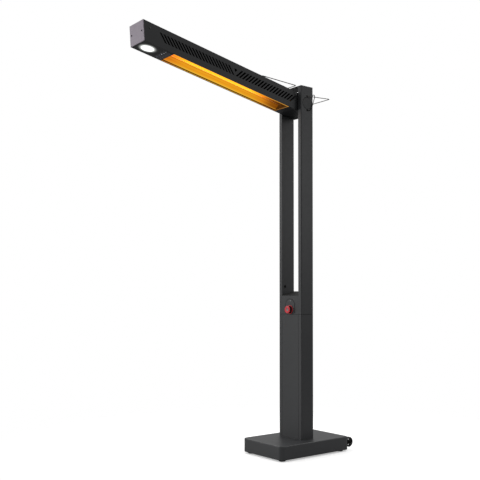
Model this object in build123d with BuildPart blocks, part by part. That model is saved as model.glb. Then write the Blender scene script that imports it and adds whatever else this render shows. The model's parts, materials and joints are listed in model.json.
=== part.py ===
from build123d import *
from math import cos, radians, sin, tan
import os

# Folding infrared patio heater tower, in millimetres.
# +Z is up, the heater arm reaches out towards -Y and +X is the tower's right-hand side.
# The origin lies on the floor under the middle of the column.
# At rest the arm is open, tilted a little above level. Turned down about +X it lies in the slot
# between the two uprights, with its nose just above the sloping slot floor.

os.makedirs("parts", exist_ok=True)

# ---------------------------------------------------------------- driving dimensions
# whole tower
total_height = 2100.0
fit_gap = 0.2  # between fixed pieces that slide into each other
shaft_clearance = 0.05  # radial, around anything that turns

# base
foot_height = 10.0
foot_radius = 21.0
foot_draft = 14.0  # degrees
foot_inset = 37.0
base_width = 342.0
base_depth = 516.0
base_height = 76.0
base_shift = -4.0  # how far the middle of the base lies from the column's middle, along Y
base_corner = 20.0
base_top_round = 5.0
base_wall = 2.0
ballast_thickness = 12.0
flange_margin = 20.0  # how far the flange stands out round the column
flange_thickness = 8.0
flange_bolt_inset = 11.0

# transport wheels
wheel_radius = 29.0
wheel_width = 18.0
wheel_inset = 31.0  # from the side of the base to the middle of a wheel
wheel_rim_radius = 24.0
wheel_hub_radius = 9.0
wheel_rim_wall = 3.0
spoke_count = 6
spoke_width = 4.0
spoke_depth = 9.0
rim_inset = 1.0  # how much narrower the rim and the hub's step are than the wheel
axle_radius = 4.0
axle_height = 46.0
axle_behind_base = 30.0
axle_head_radius = 7.0
axle_head_length = 4.0
bracket_thickness = 3.0
bracket_height = 40.0
bracket_flange = 26.0
bracket_ear_radius = 14.0

# column
column_width = 192.0
column_depth = 93.0
column_corner = 6.0
slot_corner = 1.5
upright_width = 26.0
tube_wall = 2.0
seam_groove_height = 1.6
seam_groove_depth = 0.8
line_groove_width = 1.4
line_groove_depth = 0.8
joiner_length = 150.0
joiner_wall = 3.0
cap_thickness = 2.0
cap_round = 0.65
cap_plug_length = 6.0

# slot floor and control box
nose_clearance = 4.0  # under the nose of the folded arm
control_height = 108.0  # from the seam up to the front edge of the slot floor
slot_floor_thickness = 2.5
box_wall = 2.5
knob_plate_thickness = 3.0
escutcheon_width = 83.0
escutcheon_height = 84.0
escutcheon_thickness = 1.5
escutcheon_above_seam = 5.0
knob_above_seam = 26.0
knob_radius = 21.5
knob_length = 21.0
knob_ring_width = 4.5
knob_ring_length = 3.5
knob_flute_count = 14
knob_flute_radius = 2.0
knob_bezel_width = 2.8
knob_bezel_length = 2.6
knob_running_gap = 0.6
knob_cap_recess = 1.0
knob_pointer_width = 2.0
knob_pointer_margin = 2.0
knob_pointer_depth = 0.6
switch_size = 36.0
switch_corner = 3.0
switch_depth = 26.0
switch_bush_radius = 5.0
switch_shaft_radius = 3.0
switch_shaft_length = 30.0

# hinge
pivot_below_top = 97.0
rest_tilt = 10.7
shaft_radius = 8.0
bush_wall = 3.0
bush_flange_radius = 17.0
bush_flange_thickness = 2.0
friction_washer_radius = 30.0
washer_gap = 0.2
nut_flange_thickness = 3.0
nut_flange_radius = 15.0
nut_radius = 14.0
nut_thickness = 9.0
shaft_overhang = 1.0
shaft_chamfer = 1.0
shaft_bore = 4.0
pivot_cap_radius = 33.0
pivot_cap_gap = 0.4
pivot_cap_proud = 0.6
cap_tongue_width = 10.0
cap_tongue_thickness = 1.5
pivot_hole_rise = 40.0  # small holes above and below the pivot cap

# header between the tops of the uprights
header_depth = 28.0
header_wall = 3.0
header_round = 1.5
buffer_width = 24.0
buffer_height = 2.4
buffer_spread = 34.0
buffer_clearance = 0.4

# heater arm
side_gap = 3.5  # between the arm and an upright
arm_height = 101.0
arm_reach = 1095.0  # pivot to the nose's upper corner
nose_slant = 14.4
sheet = 1.5
housing_rear = 61.0
housing_rear_round = 38.0
bottom_flange = 3.0
plate_seat = 1.5
nose_cap_thickness = 3.0
nose_cap_round = 1.5
nose_screw_inset = 16.5
nose_tab_width = 22.0
nose_tab_height = 24.0
block_wall = 5.0
block_inset = 2.0  # how much narrower the hinge block is than the arm, on each side
block_tail = 56.5  # from the pivot back to the block's rear face
block_round = 40.0
block_hub_radius = 24.0
block_hub_length = 22.0
block_boss_radius = 8.0
block_boss_length = 12.0
block_bolt_inset = 18.5
block_bolt_low_inset = 14.5
block_bolt_high = 2.0
brace_thickness = 3.0
brace_length = 35.0
brace_top = 12.0
louvre_height = 39.0
louvre_width = 9.0  # measured along the arm
louvre_rise = 3.0
front_louvre_setback = 129.0  # from the nose to the louvre nearest it
front_louvre_count = 21
front_louvre_lean = 39.0  # how far the top of a louvre lies nearer the nose than its foot
rear_louvre_end = 87.2  # station of the louvre nearest the pivot
rear_louvre_count = 19
rear_louvre_lean = -32.0
louvre_row_gap = 58.0
mark_beyond_row = 28.0
mark_rise = 13.0
mark_size = 9.0

# heater
window_rear = 100.0
window_setback = 206.0  # from the nose to the window
reflector_edge_inset = 7.5  # from the arm's lower face up to the reflector's edges
reflector_top = 8.0
reflector_flat = 25.0
reflector_sheet = 1.0
reflector_margin = 2.5
reflector_turn_up = 10.0
end_lip = 3.0
tube_radius = 6.5
tube_below_middle = 28.0
holder_length = 26.0
holder_width = 20.0
holder_height = 26.0
holder_corner = 3.0
tube_wall_thickness = 1.2
holder_end = 4.0
filament_thickness = 0.4
shield_side_margin = 12.5
shield_drop = 16.0
shield_flange = 7.0
shield_margin = 14.0

# lamp and touch panel in the nose
lamp_setback = 86.0
lamp_radius = 36.0
lamp_ring_width = 3.5
lamp_ring_proud = 1.0
lens_thickness = 3.0
lamp_cup_height = 26.0
led_count = 8
led_circle = 22.0
touch_side_margin = 14.5
touch_length = 46.0
touch_margin = 4.0
touch_proud = 0.6
touch_recess = 1.5
touch_corner = 3.0
board_stand = 3.0
board_stand_x_inset = 8.0
board_stand_y_inset = 6.0
board_margin = 2.0
board_part_width = 22.0
board_part_length = 14.0
board_part_height = 8.0
board_part_pitch = 54.0
board_part_shift = 7.0
led_size = 5.0
board_thickness = 1.6

# catch that holds the folded arm
stud_setback = 47.0
stud_rise = 23.0
stud_radius = 5.0
stud_proud = 2.6
stud_stem = 2.5
stud_round = 2.3
stud_nut_thickness = 3.0
grommet_radius = 9.0
grommet_bore = 6.0
grommet_flange = 2.0

# wires
stay_wire_radius = 2.25
stay_inset = 6.5  # from the arm's side to the wire
stay_pivot = 318.0  # station of the clips on the arm's top
stay_clear_of_header = 6.0
stay_above_header = 3.5
stay_bend = 7.0
stay_pin_length = 16.0
clip_width = 8.0
clip_length = 12.0
clip_floor = 1.5
bail_wire_radius = 2.0
bail_reach = 178.0
bail_rise = 10.4
bail_gap = 1.0
bail_bend = 10.0
bail_pin_bend = 3.0
bail_pin_length = 9.0
cable_radius = 2.0
cable_stand_off = 3.6
collar_thickness = 2.0
cable_below_bail = 12.0
cable_bulge = 16.0
cable_back_inset = 6.0
cable_back_rise = 58.0
# points of the loop: in from its outermost line, forward of the back face, above its lower end
cable_route = [(0.0, 24.5, 5.0), (0.6, 2.5, 32.0)]
cable_bends = [4.0, 9.0, 18.0, 11.0, 8.0]

# small fasteners
screw_head_radius = 4.0
screw_head_height = 2.4
screw_radius = 2.0
screw_length = 10.0
bolt_head_radius = 7.5
bolt_head_height = 5.3
bolt_radius = 4.0
bolt_grip = 12.0

# cable gland at the back of the column
gland_above_base = 60.0
gland_radius = 11.0
gland_nut_radius = 9.0
gland_hex_length = 7.0
gland_cap_length = 15.0
gland_draft = 8.0  # degrees
gland_locknut_radius = 13.0
gland_nut_thickness = 4.0
gland_bore = 4.5
terminal_above_gland = 50.0
terminal_width = 52.0
terminal_depth = 16.0
terminal_size = 22.0
terminal_ways = 4
terminal_pitch = 12.0
terminal_bore = 3.5
terminal_bore_depth = 5.0

# power board on the back wall of the control box
power_board_rise = 62.0  # above the seam
power_board_height = 62.0
power_board_margin = 12.3
power_board_stand = 6.0
power_stand_radius = 3.0
power_stand_inset = 7.0
power_part_count = 3
power_part_pitch = 34.0
power_part_width = 22.0
power_part_height = 30.0
power_part_depth = 14.0

# ---------------------------------------------------------------- levels and frames
base_top = foot_height + base_height
base_back = base_shift + base_depth / 2
wheel_center = base_width / 2 - wheel_inset
flange_width = column_width + 2 * flange_margin
flange_depth = column_depth + 2 * flange_margin
ballast_top = foot_height + ballast_thickness
column_bottom = ballast_top + flange_thickness
half_width = column_width / 2
half_depth = column_depth / 2
slot_half = half_width - upright_width
upright_center = half_width - upright_width / 2
pivot_height = total_height - pivot_below_top
slot_floor_height = pivot_height - arm_reach - nose_clearance  # at the front edge
seam_height = slot_floor_height - control_height
half_arm = slot_half - side_gap
half_arm_height = arm_height / 2
slot_slope = tan(radians(nose_slant))
knob_height = seam_height + knob_above_seam
axle_y = base_back + axle_behind_base

tilt = radians(rest_tilt)
arm_top_at_front = pivot_height + half_arm_height / cos(tilt) + half_depth * tan(tilt)
buffer_bottom = arm_top_at_front + buffer_clearance
header_bottom = buffer_bottom + buffer_height
arm_direction = Vector(0, -cos(tilt), sin(tilt))
arm_up = Vector(0, sin(tilt), cos(tilt))
# cross-sections of the arm: local X across, local Y up; its offset is the station from the pivot
arm_frame = Plane(origin=(0, 0, pivot_height), x_dir=(1, 0, 0), z_dir=arm_direction)
# side views of the arm: local X along the arm, local Y up
arm_side = Plane(origin=(0, 0, pivot_height), x_dir=arm_direction, z_dir=(-1, 0, 0))
# views of the arm from below: local X across, local Y along the arm; its offset is the depth
arm_under = Plane(origin=(0, 0, pivot_height), x_dir=(1, 0, 0), z_dir=-arm_up)
nose_corner = arm_frame.from_local_coords((0, half_arm_height, arm_reach))
nose_normal = arm_direction * cos(radians(nose_slant)) - arm_up * sin(radians(nose_slant))
nose_plane = Plane(origin=nose_corner, x_dir=(1, 0, 0), z_dir=nose_normal)
knob_frame = Plane(origin=(0, -half_depth, knob_height), x_dir=(1, 0, 0), z_dir=(0, -1, 0))
back_frame = Plane(origin=(0, half_depth, 0), x_dir=(-1, 0, 0), z_dir=(0, 1, 0))


def side_frame(x):
    """A view of the tower from its right, cut at x: local X is the tower's Y, local Y its Z."""
    return Plane(origin=(x, 0, 0), x_dir=(0, 1, 0), z_dir=(1, 0, 0))


def pan_screw(frame, places, length=screw_length):
    """Pan-head screws whose heads stand on the frame and whose shanks run down behind it."""
    with BuildPart() as screws:
        with BuildSketch(frame):
            with Locations(*places):
                Circle(screw_head_radius)
        extrude(amount=screw_head_height)
        with BuildSketch(frame):
            with Locations(*places):
                Circle(screw_radius)
        extrude(amount=-length)
    return screws


# ---------------------------------------------------------------- base
foot_x = base_width / 2 - foot_inset
foot_y = base_depth / 2 - foot_inset
foot_places = [
    (side * foot_x, base_shift + end * foot_y) for side in (-1, 1) for end in (-1, 1)
]

ear_face = wheel_center - wheel_width / 2 - 2 * fit_gap
bracket_screw_x = ear_face - bracket_thickness - bracket_flange / 2
bracket_middle = ear_face - (bracket_flange + bracket_thickness) / 2
bracket_screw_rise = bracket_height / 4
bracket_screw_places = [
    (side * bracket_screw_x, axle_height + step * bracket_screw_rise)
    for side in (-1, 1)
    for step in (-1, 1)
]
base_back_frame = Plane(origin=(0, base_back, 0), x_dir=(-1, 0, 0), z_dir=(0, 1, 0))

with BuildPart() as base_cover:
    with BuildSketch(Plane.XY.offset(foot_height)):
        with Locations((0, base_shift)):
            RectangleRounded(base_width, base_depth, base_corner)
    extrude(amount=base_top - foot_height)
    fillet(base_cover.edges().group_by(Axis.Z)[-1], base_top_round)
    offset(amount=-base_wall, openings=base_cover.faces().sort_by(Axis.Z)[0])
    with BuildSketch(Plane.XY.offset(base_top - base_wall)):
        RectangleRounded(
            column_width + 2 * fit_gap, column_depth + 2 * fit_gap, column_corner + fit_gap
        )
    extrude(amount=base_wall, mode=Mode.SUBTRACT)
    with BuildSketch(base_back_frame):
        with Locations(*bracket_screw_places):
            Circle(screw_radius)
    extrude(amount=-2 * base_wall, mode=Mode.SUBTRACT)

bolt_x = flange_width / 2 - flange_bolt_inset
bolt_y = flange_depth / 2 - flange_bolt_inset
flange_bolt_places = [(i * bolt_x, j * bolt_y) for i in (-1, 1) for j in (-1, 1)]

with BuildPart() as base_ballast:
    with BuildSketch(Plane.XY.offset(foot_height)):
        with Locations((0, base_shift)):
            RectangleRounded(
                base_width - 2 * (base_wall + fit_gap),
                base_depth - 2 * (base_wall + fit_gap),
                base_corner - base_wall - fit_gap,
            )
        with Locations(*foot_places):
            Circle(screw_radius, mode=Mode.SUBTRACT)
        with Locations(*flange_bolt_places):
            Circle(bolt_radius, mode=Mode.SUBTRACT)
    extrude(amount=ballast_thickness)

with BuildPart() as column_flange:
    with BuildSketch(Plane.XY.offset(ballast_top)):
        RectangleRounded(flange_width, flange_depth, column_corner)
        with Locations(*flange_bolt_places):
            Circle(bolt_radius + fit_gap, mode=Mode.SUBTRACT)
    extrude(amount=flange_thickness)

with BuildPart() as flange_bolts:
    with BuildSketch(Plane.XY.offset(column_bottom)):
        with Locations(*flange_bolt_places):
            RegularPolygon(bolt_head_radius, 6)
    extrude(amount=bolt_head_height)
    with BuildSketch(Plane.XY.offset(column_bottom)):
        with Locations(*flange_bolt_places):
            Circle(bolt_radius)
    extrude(amount=-(flange_thickness + bolt_grip))

foot_seat = foot_height / 2
with BuildPart() as rubber_feet:
    with BuildSketch(Plane.XY.offset(foot_height)):
        with Locations(*foot_places):
            Circle(foot_radius)
    extrude(amount=-foot_height, taper=foot_draft)
    with BuildSketch(Plane.XY):
        with Locations(*foot_places):
            Circle(screw_head_radius + fit_gap)
    extrude(amount=foot_seat, mode=Mode.SUBTRACT)
    with BuildSketch(Plane.XY.offset(foot_seat)):
        with Locations(*foot_places):
            Circle(screw_radius + fit_gap)
    extrude(amount=foot_height - foot_seat, mode=Mode.SUBTRACT)

foot_screws = pan_screw(
    Plane(origin=(0, 0, foot_seat), x_dir=(1, 0, 0), z_dir=(0, 0, -1)),
    [(x, -y) for x, y in foot_places],
    length=foot_height - foot_seat + bolt_grip,
)

# ---------------------------------------------------------------- transport wheels
def build_bracket_pair():
    """Two angle brackets on the back of the base, each with an ear that carries the axle."""
    with BuildPart() as brackets:
        for side in (-1, 1):
            with BuildSketch(base_back_frame):
                with Locations((-side * bracket_middle, axle_height)):
                    Rectangle(bracket_flange + bracket_thickness, bracket_height)
            extrude(amount=bracket_thickness)
            ear_start = side * (ear_face - bracket_thickness)
            with BuildSketch(side_frame(ear_start)):
                with Locations((axle_y, axle_height)):
                    Circle(bracket_ear_radius)
                with BuildLine():
                    Polyline(
                        (base_back, axle_height - bracket_height / 2),
                        (base_back, axle_height + bracket_height / 2),
                        (axle_y, axle_height + bracket_ear_radius),
                        (axle_y, axle_height - bracket_ear_radius),
                        close=True,
                    )
                make_face()
                with Locations((axle_y, axle_height)):
                    Circle(axle_radius, mode=Mode.SUBTRACT)
            extrude(amount=side * bracket_thickness)
        with BuildSketch(base_back_frame):
            with Locations(*bracket_screw_places):
                Circle(screw_radius + fit_gap)
        extrude(amount=bracket_thickness, mode=Mode.SUBTRACT)
    return brackets


wheel_brackets = build_bracket_pair()
bracket_screws = pan_screw(base_back_frame.offset(bracket_thickness), bracket_screw_places)

axle_half = wheel_center + wheel_width / 2 + 2 * fit_gap
with BuildPart() as wheel_axle:
    with BuildSketch(side_frame(0)):
        with Locations((axle_y, axle_height)):
            Circle(axle_radius)
    extrude(amount=axle_half, both=True)
    for side in (-1, 1):
        with BuildSketch(side_frame(side * axle_half)):
            with Locations((axle_y, axle_height)):
                Circle(axle_head_radius)
        extrude(amount=side * axle_head_length)
        head_rim = wheel_axle.edges().group_by(Axis.X)[-1 if side > 0 else 0]
        fillet(head_rim, axle_head_length / 3)


def build_wheel(side):
    """A spoked hub and the tyre round it; both turn on the axle about X."""
    middle = side_frame(side * wheel_center)
    with BuildPart() as rim:
        with BuildSketch(middle):
            with Locations((axle_y, axle_height)):
                Circle(wheel_rim_radius)
                Circle(wheel_rim_radius - wheel_rim_wall, mode=Mode.SUBTRACT)
                Circle(wheel_hub_radius)
        extrude(amount=wheel_width / 2 - rim_inset, both=True)
        spoke_reach = wheel_rim_radius - wheel_rim_wall / 2
        with BuildSketch(middle):
            with Locations((axle_y, axle_height)):
                with PolarLocations(spoke_reach / 2, spoke_count):
                    Rectangle(spoke_reach, spoke_width)
        extrude(amount=spoke_depth / 2, both=True)
        with BuildSketch(middle):
            with Locations((axle_y, axle_height)):
                Circle(wheel_hub_radius - rim_inset)
        extrude(amount=wheel_width / 2, both=True)
        with BuildSketch(middle):
            with Locations((axle_y, axle_height)):
                Circle(axle_radius + shaft_clearance)
        extrude(amount=wheel_width, both=True, mode=Mode.SUBTRACT)
    with BuildPart() as tyre:
        with BuildSketch(middle):
            with Locations((axle_y, axle_height)):
                Circle(wheel_radius)
        extrude(amount=wheel_width / 2, both=True)
        fillet(tyre.edges().filter_by(GeomType.CIRCLE), (wheel_radius - wheel_rim_radius) / 2)
        with BuildSketch(middle):
            with Locations((axle_y, axle_height)):
                Circle(wheel_rim_radius)
        extrude(amount=wheel_width, both=True, mode=Mode.SUBTRACT)
    return rim, tyre


wheel_rim_left, wheel_tyre_left = build_wheel(-1)
wheel_rim_right, wheel_tyre_right = build_wheel(1)

# ---------------------------------------------------------------- column
gland_height = base_top + gland_above_base
joiner_width = upright_width - 2 * tube_wall - 2 * fit_gap
joiner_depth = column_depth - 2 * tube_wall - 2 * fit_gap
joiner_screw_places = [
    (side * upright_center, seam_height + step * joiner_length / 4)
    for side in (-1, 1)
    for step in (-1, 1)
]


with BuildPart() as lower_column:
    with BuildSketch(Plane.XY.offset(column_bottom)):
        RectangleRounded(column_width, column_depth, column_corner)
        offset(amount=-tube_wall, mode=Mode.SUBTRACT)
        for front in (-1, 1):
            with Locations((-slot_half, front * half_depth), (slot_half, front * half_depth)):
                Rectangle(line_groove_width, 2 * line_groove_depth, mode=Mode.SUBTRACT)
    extrude(amount=seam_height - column_bottom)
    with BuildSketch(Plane.XY.offset(seam_height - seam_groove_height)):
        Rectangle(2 * column_width, 2 * column_depth)
        RectangleRounded(
            column_width - 2 * seam_groove_depth,
            column_depth - 2 * seam_groove_depth,
            column_corner - seam_groove_depth,
            mode=Mode.SUBTRACT,
        )
    extrude(amount=seam_groove_height, mode=Mode.SUBTRACT)
    with BuildSketch(back_frame):
        with Locations((0, gland_height)):
            Circle(gland_nut_radius)
    extrude(amount=-2 * tube_wall, mode=Mode.SUBTRACT)
    with BuildSketch(back_frame):
        with Locations(*joiner_screw_places):
            Circle(screw_radius)
    extrude(amount=-2 * (tube_wall + joiner_wall), mode=Mode.SUBTRACT)

with BuildPart() as column_joiners:
    with BuildSketch(Plane.XY.offset(seam_height - joiner_length / 2)):
        with Locations((-upright_center, 0), (upright_center, 0)):
            RectangleRounded(joiner_width, joiner_depth, column_corner)
            Rectangle(
                joiner_width - 2 * joiner_wall, joiner_depth - 2 * joiner_wall, mode=Mode.SUBTRACT
            )
    extrude(amount=joiner_length)
    with BuildSketch(back_frame):
        with Locations(*joiner_screw_places):
            Circle(screw_radius)
    extrude(amount=-2 * (tube_wall + joiner_wall), mode=Mode.SUBTRACT)
joiner_screws = pan_screw(back_frame, joiner_screw_places)

with BuildPart() as cable_gland:
    with BuildSketch(back_frame.offset(-tube_wall - gland_nut_thickness)):
        with Locations((0, gland_height)):
            Circle(gland_nut_radius)
    extrude(amount=tube_wall + gland_nut_thickness)
    with BuildSketch(back_frame):
        with Locations((0, gland_height)):
            RegularPolygon(gland_radius, 6)
    extrude(amount=gland_hex_length)
    with BuildSketch(back_frame.offset(gland_hex_length)):
        with Locations((0, gland_height)):
            Circle(gland_nut_radius)
    extrude(amount=gland_cap_length, taper=gland_draft)
    with BuildSketch(back_frame):
        with Locations((0, gland_height)):
            Circle(gland_bore)
    extrude(amount=column_depth, both=True, mode=Mode.SUBTRACT)
    with BuildSketch(back_frame.offset(-tube_wall)):
        with Locations((0, gland_height)):
            RegularPolygon(gland_locknut_radius, 6)
            Circle(gland_nut_radius, mode=Mode.SUBTRACT)
    extrude(amount=-gland_nut_thickness)

terminal_height = gland_height + terminal_above_gland
with BuildPart() as terminal_block:
    with BuildSketch(back_frame.offset(-tube_wall)):
        with Locations((0, terminal_height)):
            Rectangle(terminal_width, terminal_size)
    extrude(amount=-terminal_depth)
    with BuildSketch(back_frame.offset(-tube_wall - terminal_depth)):
        with Locations((0, terminal_height)):
            with GridLocations(terminal_pitch, 1, terminal_ways, 1):
                Circle(terminal_bore)
    extrude(amount=terminal_bore_depth, mode=Mode.SUBTRACT)

# ---------------------------------------------------------------- uprights
bail_height = pivot_height + pivot_hole_rise
cable_low = pivot_height - pivot_hole_rise
catch_y = -stud_rise
catch_height = pivot_height - (arm_reach - stud_setback)
bush_radius = shaft_radius + bush_wall
cable_high = bail_height - cable_below_bail
cable_end_x = half_width - upright_width / 2
header_half = slot_half - fit_gap
header_screw_y = -half_depth + header_depth / 2
header_screw_height = (header_bottom + total_height) / 2


def build_upright(side):
    """One upright: a tube with holes for its hinge bearing, catch, wires and screws."""
    outer = half_width - tube_wall
    with BuildPart() as upright:
        with BuildSketch(Plane.XY.offset(seam_height)) as profile:
            with Locations((side * upright_center, 0)):
                Rectangle(upright_width, column_depth)
            corners = profile.vertices().group_by(Axis.X)
            outer_corners = corners[-1] if side > 0 else corners[0]
            inner_corners = corners[0] if side > 0 else corners[-1]
            fillet(outer_corners, column_corner)
            fillet(inner_corners, slot_corner)
            with Locations((side * upright_center, 0)):
                RectangleRounded(
                    upright_width - 2 * tube_wall,
                    column_depth - 2 * tube_wall,
                    slot_corner,
                    mode=Mode.SUBTRACT,
                )
        extrude(amount=total_height - cap_thickness - seam_height)
        with BuildSketch(side_frame(side * slot_half)):
            with Locations((header_screw_y, header_screw_height)):
                Circle(screw_radius)
            with Locations((0, pivot_height)):
                Circle(bush_radius)
            with Locations((catch_y, catch_height)):
                Circle(grommet_radius)
        extrude(amount=side * tube_wall, mode=Mode.SUBTRACT)
        with BuildSketch(side_frame(side * outer)):
            with Locations((0, pivot_height)):
                Circle(pivot_cap_radius + pivot_cap_gap)
            with Locations((0, bail_height)):
                Circle(bail_wire_radius + shaft_clearance)
            if side > 0:
                with Locations((0, cable_low)):
                    Circle(cable_radius)
        extrude(amount=side * tube_wall, mode=Mode.SUBTRACT)
        if side > 0:
            with BuildSketch(back_frame):
                with Locations((-cable_end_x, cable_high)):
                    Circle(cable_radius)
            extrude(amount=-tube_wall, mode=Mode.SUBTRACT)
        with BuildSketch(back_frame):
            with Locations(*joiner_screw_places):
                Circle(screw_radius)
        extrude(amount=-2 * (tube_wall + joiner_wall), mode=Mode.SUBTRACT)
    return upright


upright_left = build_upright(-1)
upright_right = build_upright(1)


with BuildPart() as upright_caps:
    with BuildSketch(Plane.XY.offset(total_height - cap_thickness)) as cap_outline:
        with Locations((-upright_center, 0), (upright_center, 0)):
            Rectangle(upright_width, column_depth)
        by_x = cap_outline.vertices().group_by(Axis.X)
        outer_corners = by_x[0] + by_x[3]
        inner_corners = by_x[1] + by_x[2]
        fillet(outer_corners, column_corner)
        fillet(inner_corners, slot_corner)
    extrude(amount=cap_thickness)
    fillet(upright_caps.faces().sort_by(Axis.Z)[-2:].edges(), cap_round)
    with BuildSketch(Plane.XY.offset(total_height - cap_thickness)):
        with Locations((-upright_center, 0), (upright_center, 0)):
            RectangleRounded(joiner_width, joiner_depth, slot_corner)
    extrude(amount=-cap_plug_length)

with BuildPart() as header:
    with BuildSketch(side_frame(0)):
        with BuildLine():
            Polyline(
                (-half_depth, header_bottom),
                (-half_depth, total_height),
                (-half_depth + header_depth, total_height),
                (-half_depth + header_depth, total_height - header_wall),
                (-half_depth + header_wall, total_height - header_wall),
                (-half_depth + header_wall, header_bottom),
                close=True,
            )
        make_face()
    extrude(amount=header_half, both=True)
    # ears folded back against the uprights
    for side in (-1, 1):
        with BuildSketch(side_frame(side * header_half)):
            with Locations((header_screw_y, header_screw_height)):
                Rectangle(header_depth, total_height - header_bottom)
                Circle(screw_radius + fit_gap, mode=Mode.SUBTRACT)
        extrude(amount=-side * header_wall)
    front_edges = header.edges().filter_by(Axis.X).group_by(Axis.Y)[0]
    fillet(front_edges.sort_by(Axis.Z)[-1], header_round)

header_screws = [
    pan_screw(
        Plane(
            origin=(side * (header_half - header_wall), 0, 0), x_dir=(0, 1, 0), z_dir=(-side, 0, 0)
        ),
        [(header_screw_y, -side * header_screw_height)],
    )
    for side in (-1, 1)
]

with BuildPart() as stop_buffers:
    with BuildSketch(Plane.XY.offset(buffer_bottom)):
        with Locations(
            (-buffer_spread, -half_depth + header_wall / 2),
            (buffer_spread, -half_depth + header_wall / 2),
        ):
            Rectangle(buffer_width, header_wall)
    extrude(amount=header_bottom - buffer_bottom)

with BuildPart() as grommets:
    for side in (-1, 1):
        with BuildSketch(side_frame(side * slot_half)):
            with Locations((catch_y, catch_height)):
                Circle(grommet_radius)
        extrude(amount=side * tube_wall)
        with BuildSketch(side_frame(side * (slot_half + tube_wall))):
            with Locations((catch_y, catch_height)):
                Circle(grommet_radius + grommet_flange)
        extrude(amount=side * grommet_flange)
        with BuildSketch(side_frame(side * slot_half)):
            with Locations((catch_y, catch_height)):
                Circle(grommet_bore)
        extrude(amount=side * (tube_wall + grommet_flange), mode=Mode.SUBTRACT)
    # collars inside the right upright that hold the ends of the cable loop
    with BuildSketch(side_frame(half_width - tube_wall)):
        with Locations((0, cable_low)):
            Circle(2 * cable_radius)
            Circle(cable_radius, mode=Mode.SUBTRACT)
    extrude(amount=-collar_thickness)
    with BuildSketch(back_frame.offset(-tube_wall)):
        with Locations((-cable_end_x, cable_high)):
            Circle(2 * cable_radius)
            Circle(cable_radius, mode=Mode.SUBTRACT)
    extrude(amount=-collar_thickness)

# ---------------------------------------------------------------- hinge, fixed side
with BuildPart() as hinge_bushes:
    for side in (-1, 1):
        inside = slot_half + tube_wall
        with BuildSketch(side_frame(side * slot_half)):
            with Locations((0, pivot_height)):
                Circle(bush_radius)
        extrude(amount=side * tube_wall)
        with BuildSketch(side_frame(side * inside)):
            with Locations((0, pivot_height)):
                Circle(bush_flange_radius)
        extrude(amount=side * bush_flange_thickness)
        with BuildSketch(side_frame(side * slot_half)):
            with Locations((0, pivot_height)):
                Circle(shaft_radius + shaft_clearance)
        extrude(amount=side * (tube_wall + bush_flange_thickness), mode=Mode.SUBTRACT)

with BuildPart() as friction_washers:
    for side in (-1, 1):
        with BuildSketch(side_frame(side * slot_half)):
            with Locations((0, pivot_height)):
                Circle(friction_washer_radius)
                Circle(shaft_radius + shaft_clearance, mode=Mode.SUBTRACT)
        extrude(amount=-side * (side_gap - washer_gap))

with BuildPart() as pivot_caps:
    for side in (-1, 1):
        with BuildSketch(side_frame(side * (half_width - tube_wall))):
            with Locations((0, pivot_height)):
                Circle(pivot_cap_radius)
        extrude(amount=side * (tube_wall + pivot_cap_proud))
        rim = pivot_caps.edges().group_by(Axis.X)[-1 if side > 0 else 0]
        fillet(rim, pivot_cap_proud)
        # spring tongues behind the cap press on the upright's front and back walls
        with BuildSketch(side_frame(side * (half_width - tube_wall))):
            with Locations((0, pivot_height)):
                Rectangle(joiner_depth - 2 * slot_corner, cap_tongue_width)
        extrude(amount=-side * cap_tongue_thickness)

# ---------------------------------------------------------------- slot floor and control box
def floor_level(y):
    """Height of the slot floor's upper face at y; it slopes like the folded arm's nose."""
    return slot_floor_height + (y + half_depth) * slot_slope


box_front = -half_depth + knob_plate_thickness
box_bottom = seam_height

with BuildPart() as slot_floor:
    with BuildSketch(side_frame(0)):
        with BuildLine():
            Polyline(
                (-half_depth, floor_level(-half_depth)),
                (half_depth, floor_level(half_depth)),
                (half_depth, floor_level(half_depth) - slot_floor_thickness),
                (-half_depth, floor_level(-half_depth) - slot_floor_thickness),
                close=True,
            )
        make_face()
    extrude(amount=slot_half - fit_gap, both=True)

with BuildPart() as control_box:
    with BuildSketch(side_frame(0)):
        with BuildLine():
            Polyline(
                (box_front, box_bottom),
                (box_front, floor_level(box_front) - slot_floor_thickness),
                (half_depth, floor_level(half_depth) - slot_floor_thickness),
                (half_depth, box_bottom),
                close=True,
            )
        make_face()
    extrude(amount=slot_half - fit_gap, both=True)
    offset(amount=-box_wall, openings=control_box.faces().sort_by(Axis.Y)[0])

front_frame = Plane(origin=(0, -half_depth, 0), x_dir=(1, 0, 0), z_dir=(0, -1, 0))
plate_top = floor_level(-half_depth) - slot_floor_thickness
arch_radius = escutcheon_width / 2
escutcheon_bottom = seam_height + escutcheon_above_seam
arch_center = escutcheon_bottom + escutcheon_height - arch_radius
with BuildPart() as knob_plate:
    with BuildSketch(front_frame.offset(-knob_plate_thickness)):
        with Locations((0, (box_bottom + plate_top) / 2)):
            Rectangle(2 * (slot_half - fit_gap), plate_top - box_bottom)
    extrude(amount=knob_plate_thickness)
    # raised arch round the knob
    with BuildSketch(front_frame):
        with BuildLine():
            Line((-arch_radius, arch_center), (-arch_radius, escutcheon_bottom))
            Line((-arch_radius, escutcheon_bottom), (arch_radius, escutcheon_bottom))
            Line((arch_radius, escutcheon_bottom), (arch_radius, arch_center))
            CenterArc((0, arch_center), arch_radius, 0, 180)
        make_face()
    extrude(amount=escutcheon_thickness)
    with BuildSketch(knob_frame.offset(escutcheon_thickness)):
        Circle(switch_bush_radius + fit_gap)
    extrude(amount=-(escutcheon_thickness + knob_plate_thickness), mode=Mode.SUBTRACT)

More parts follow.
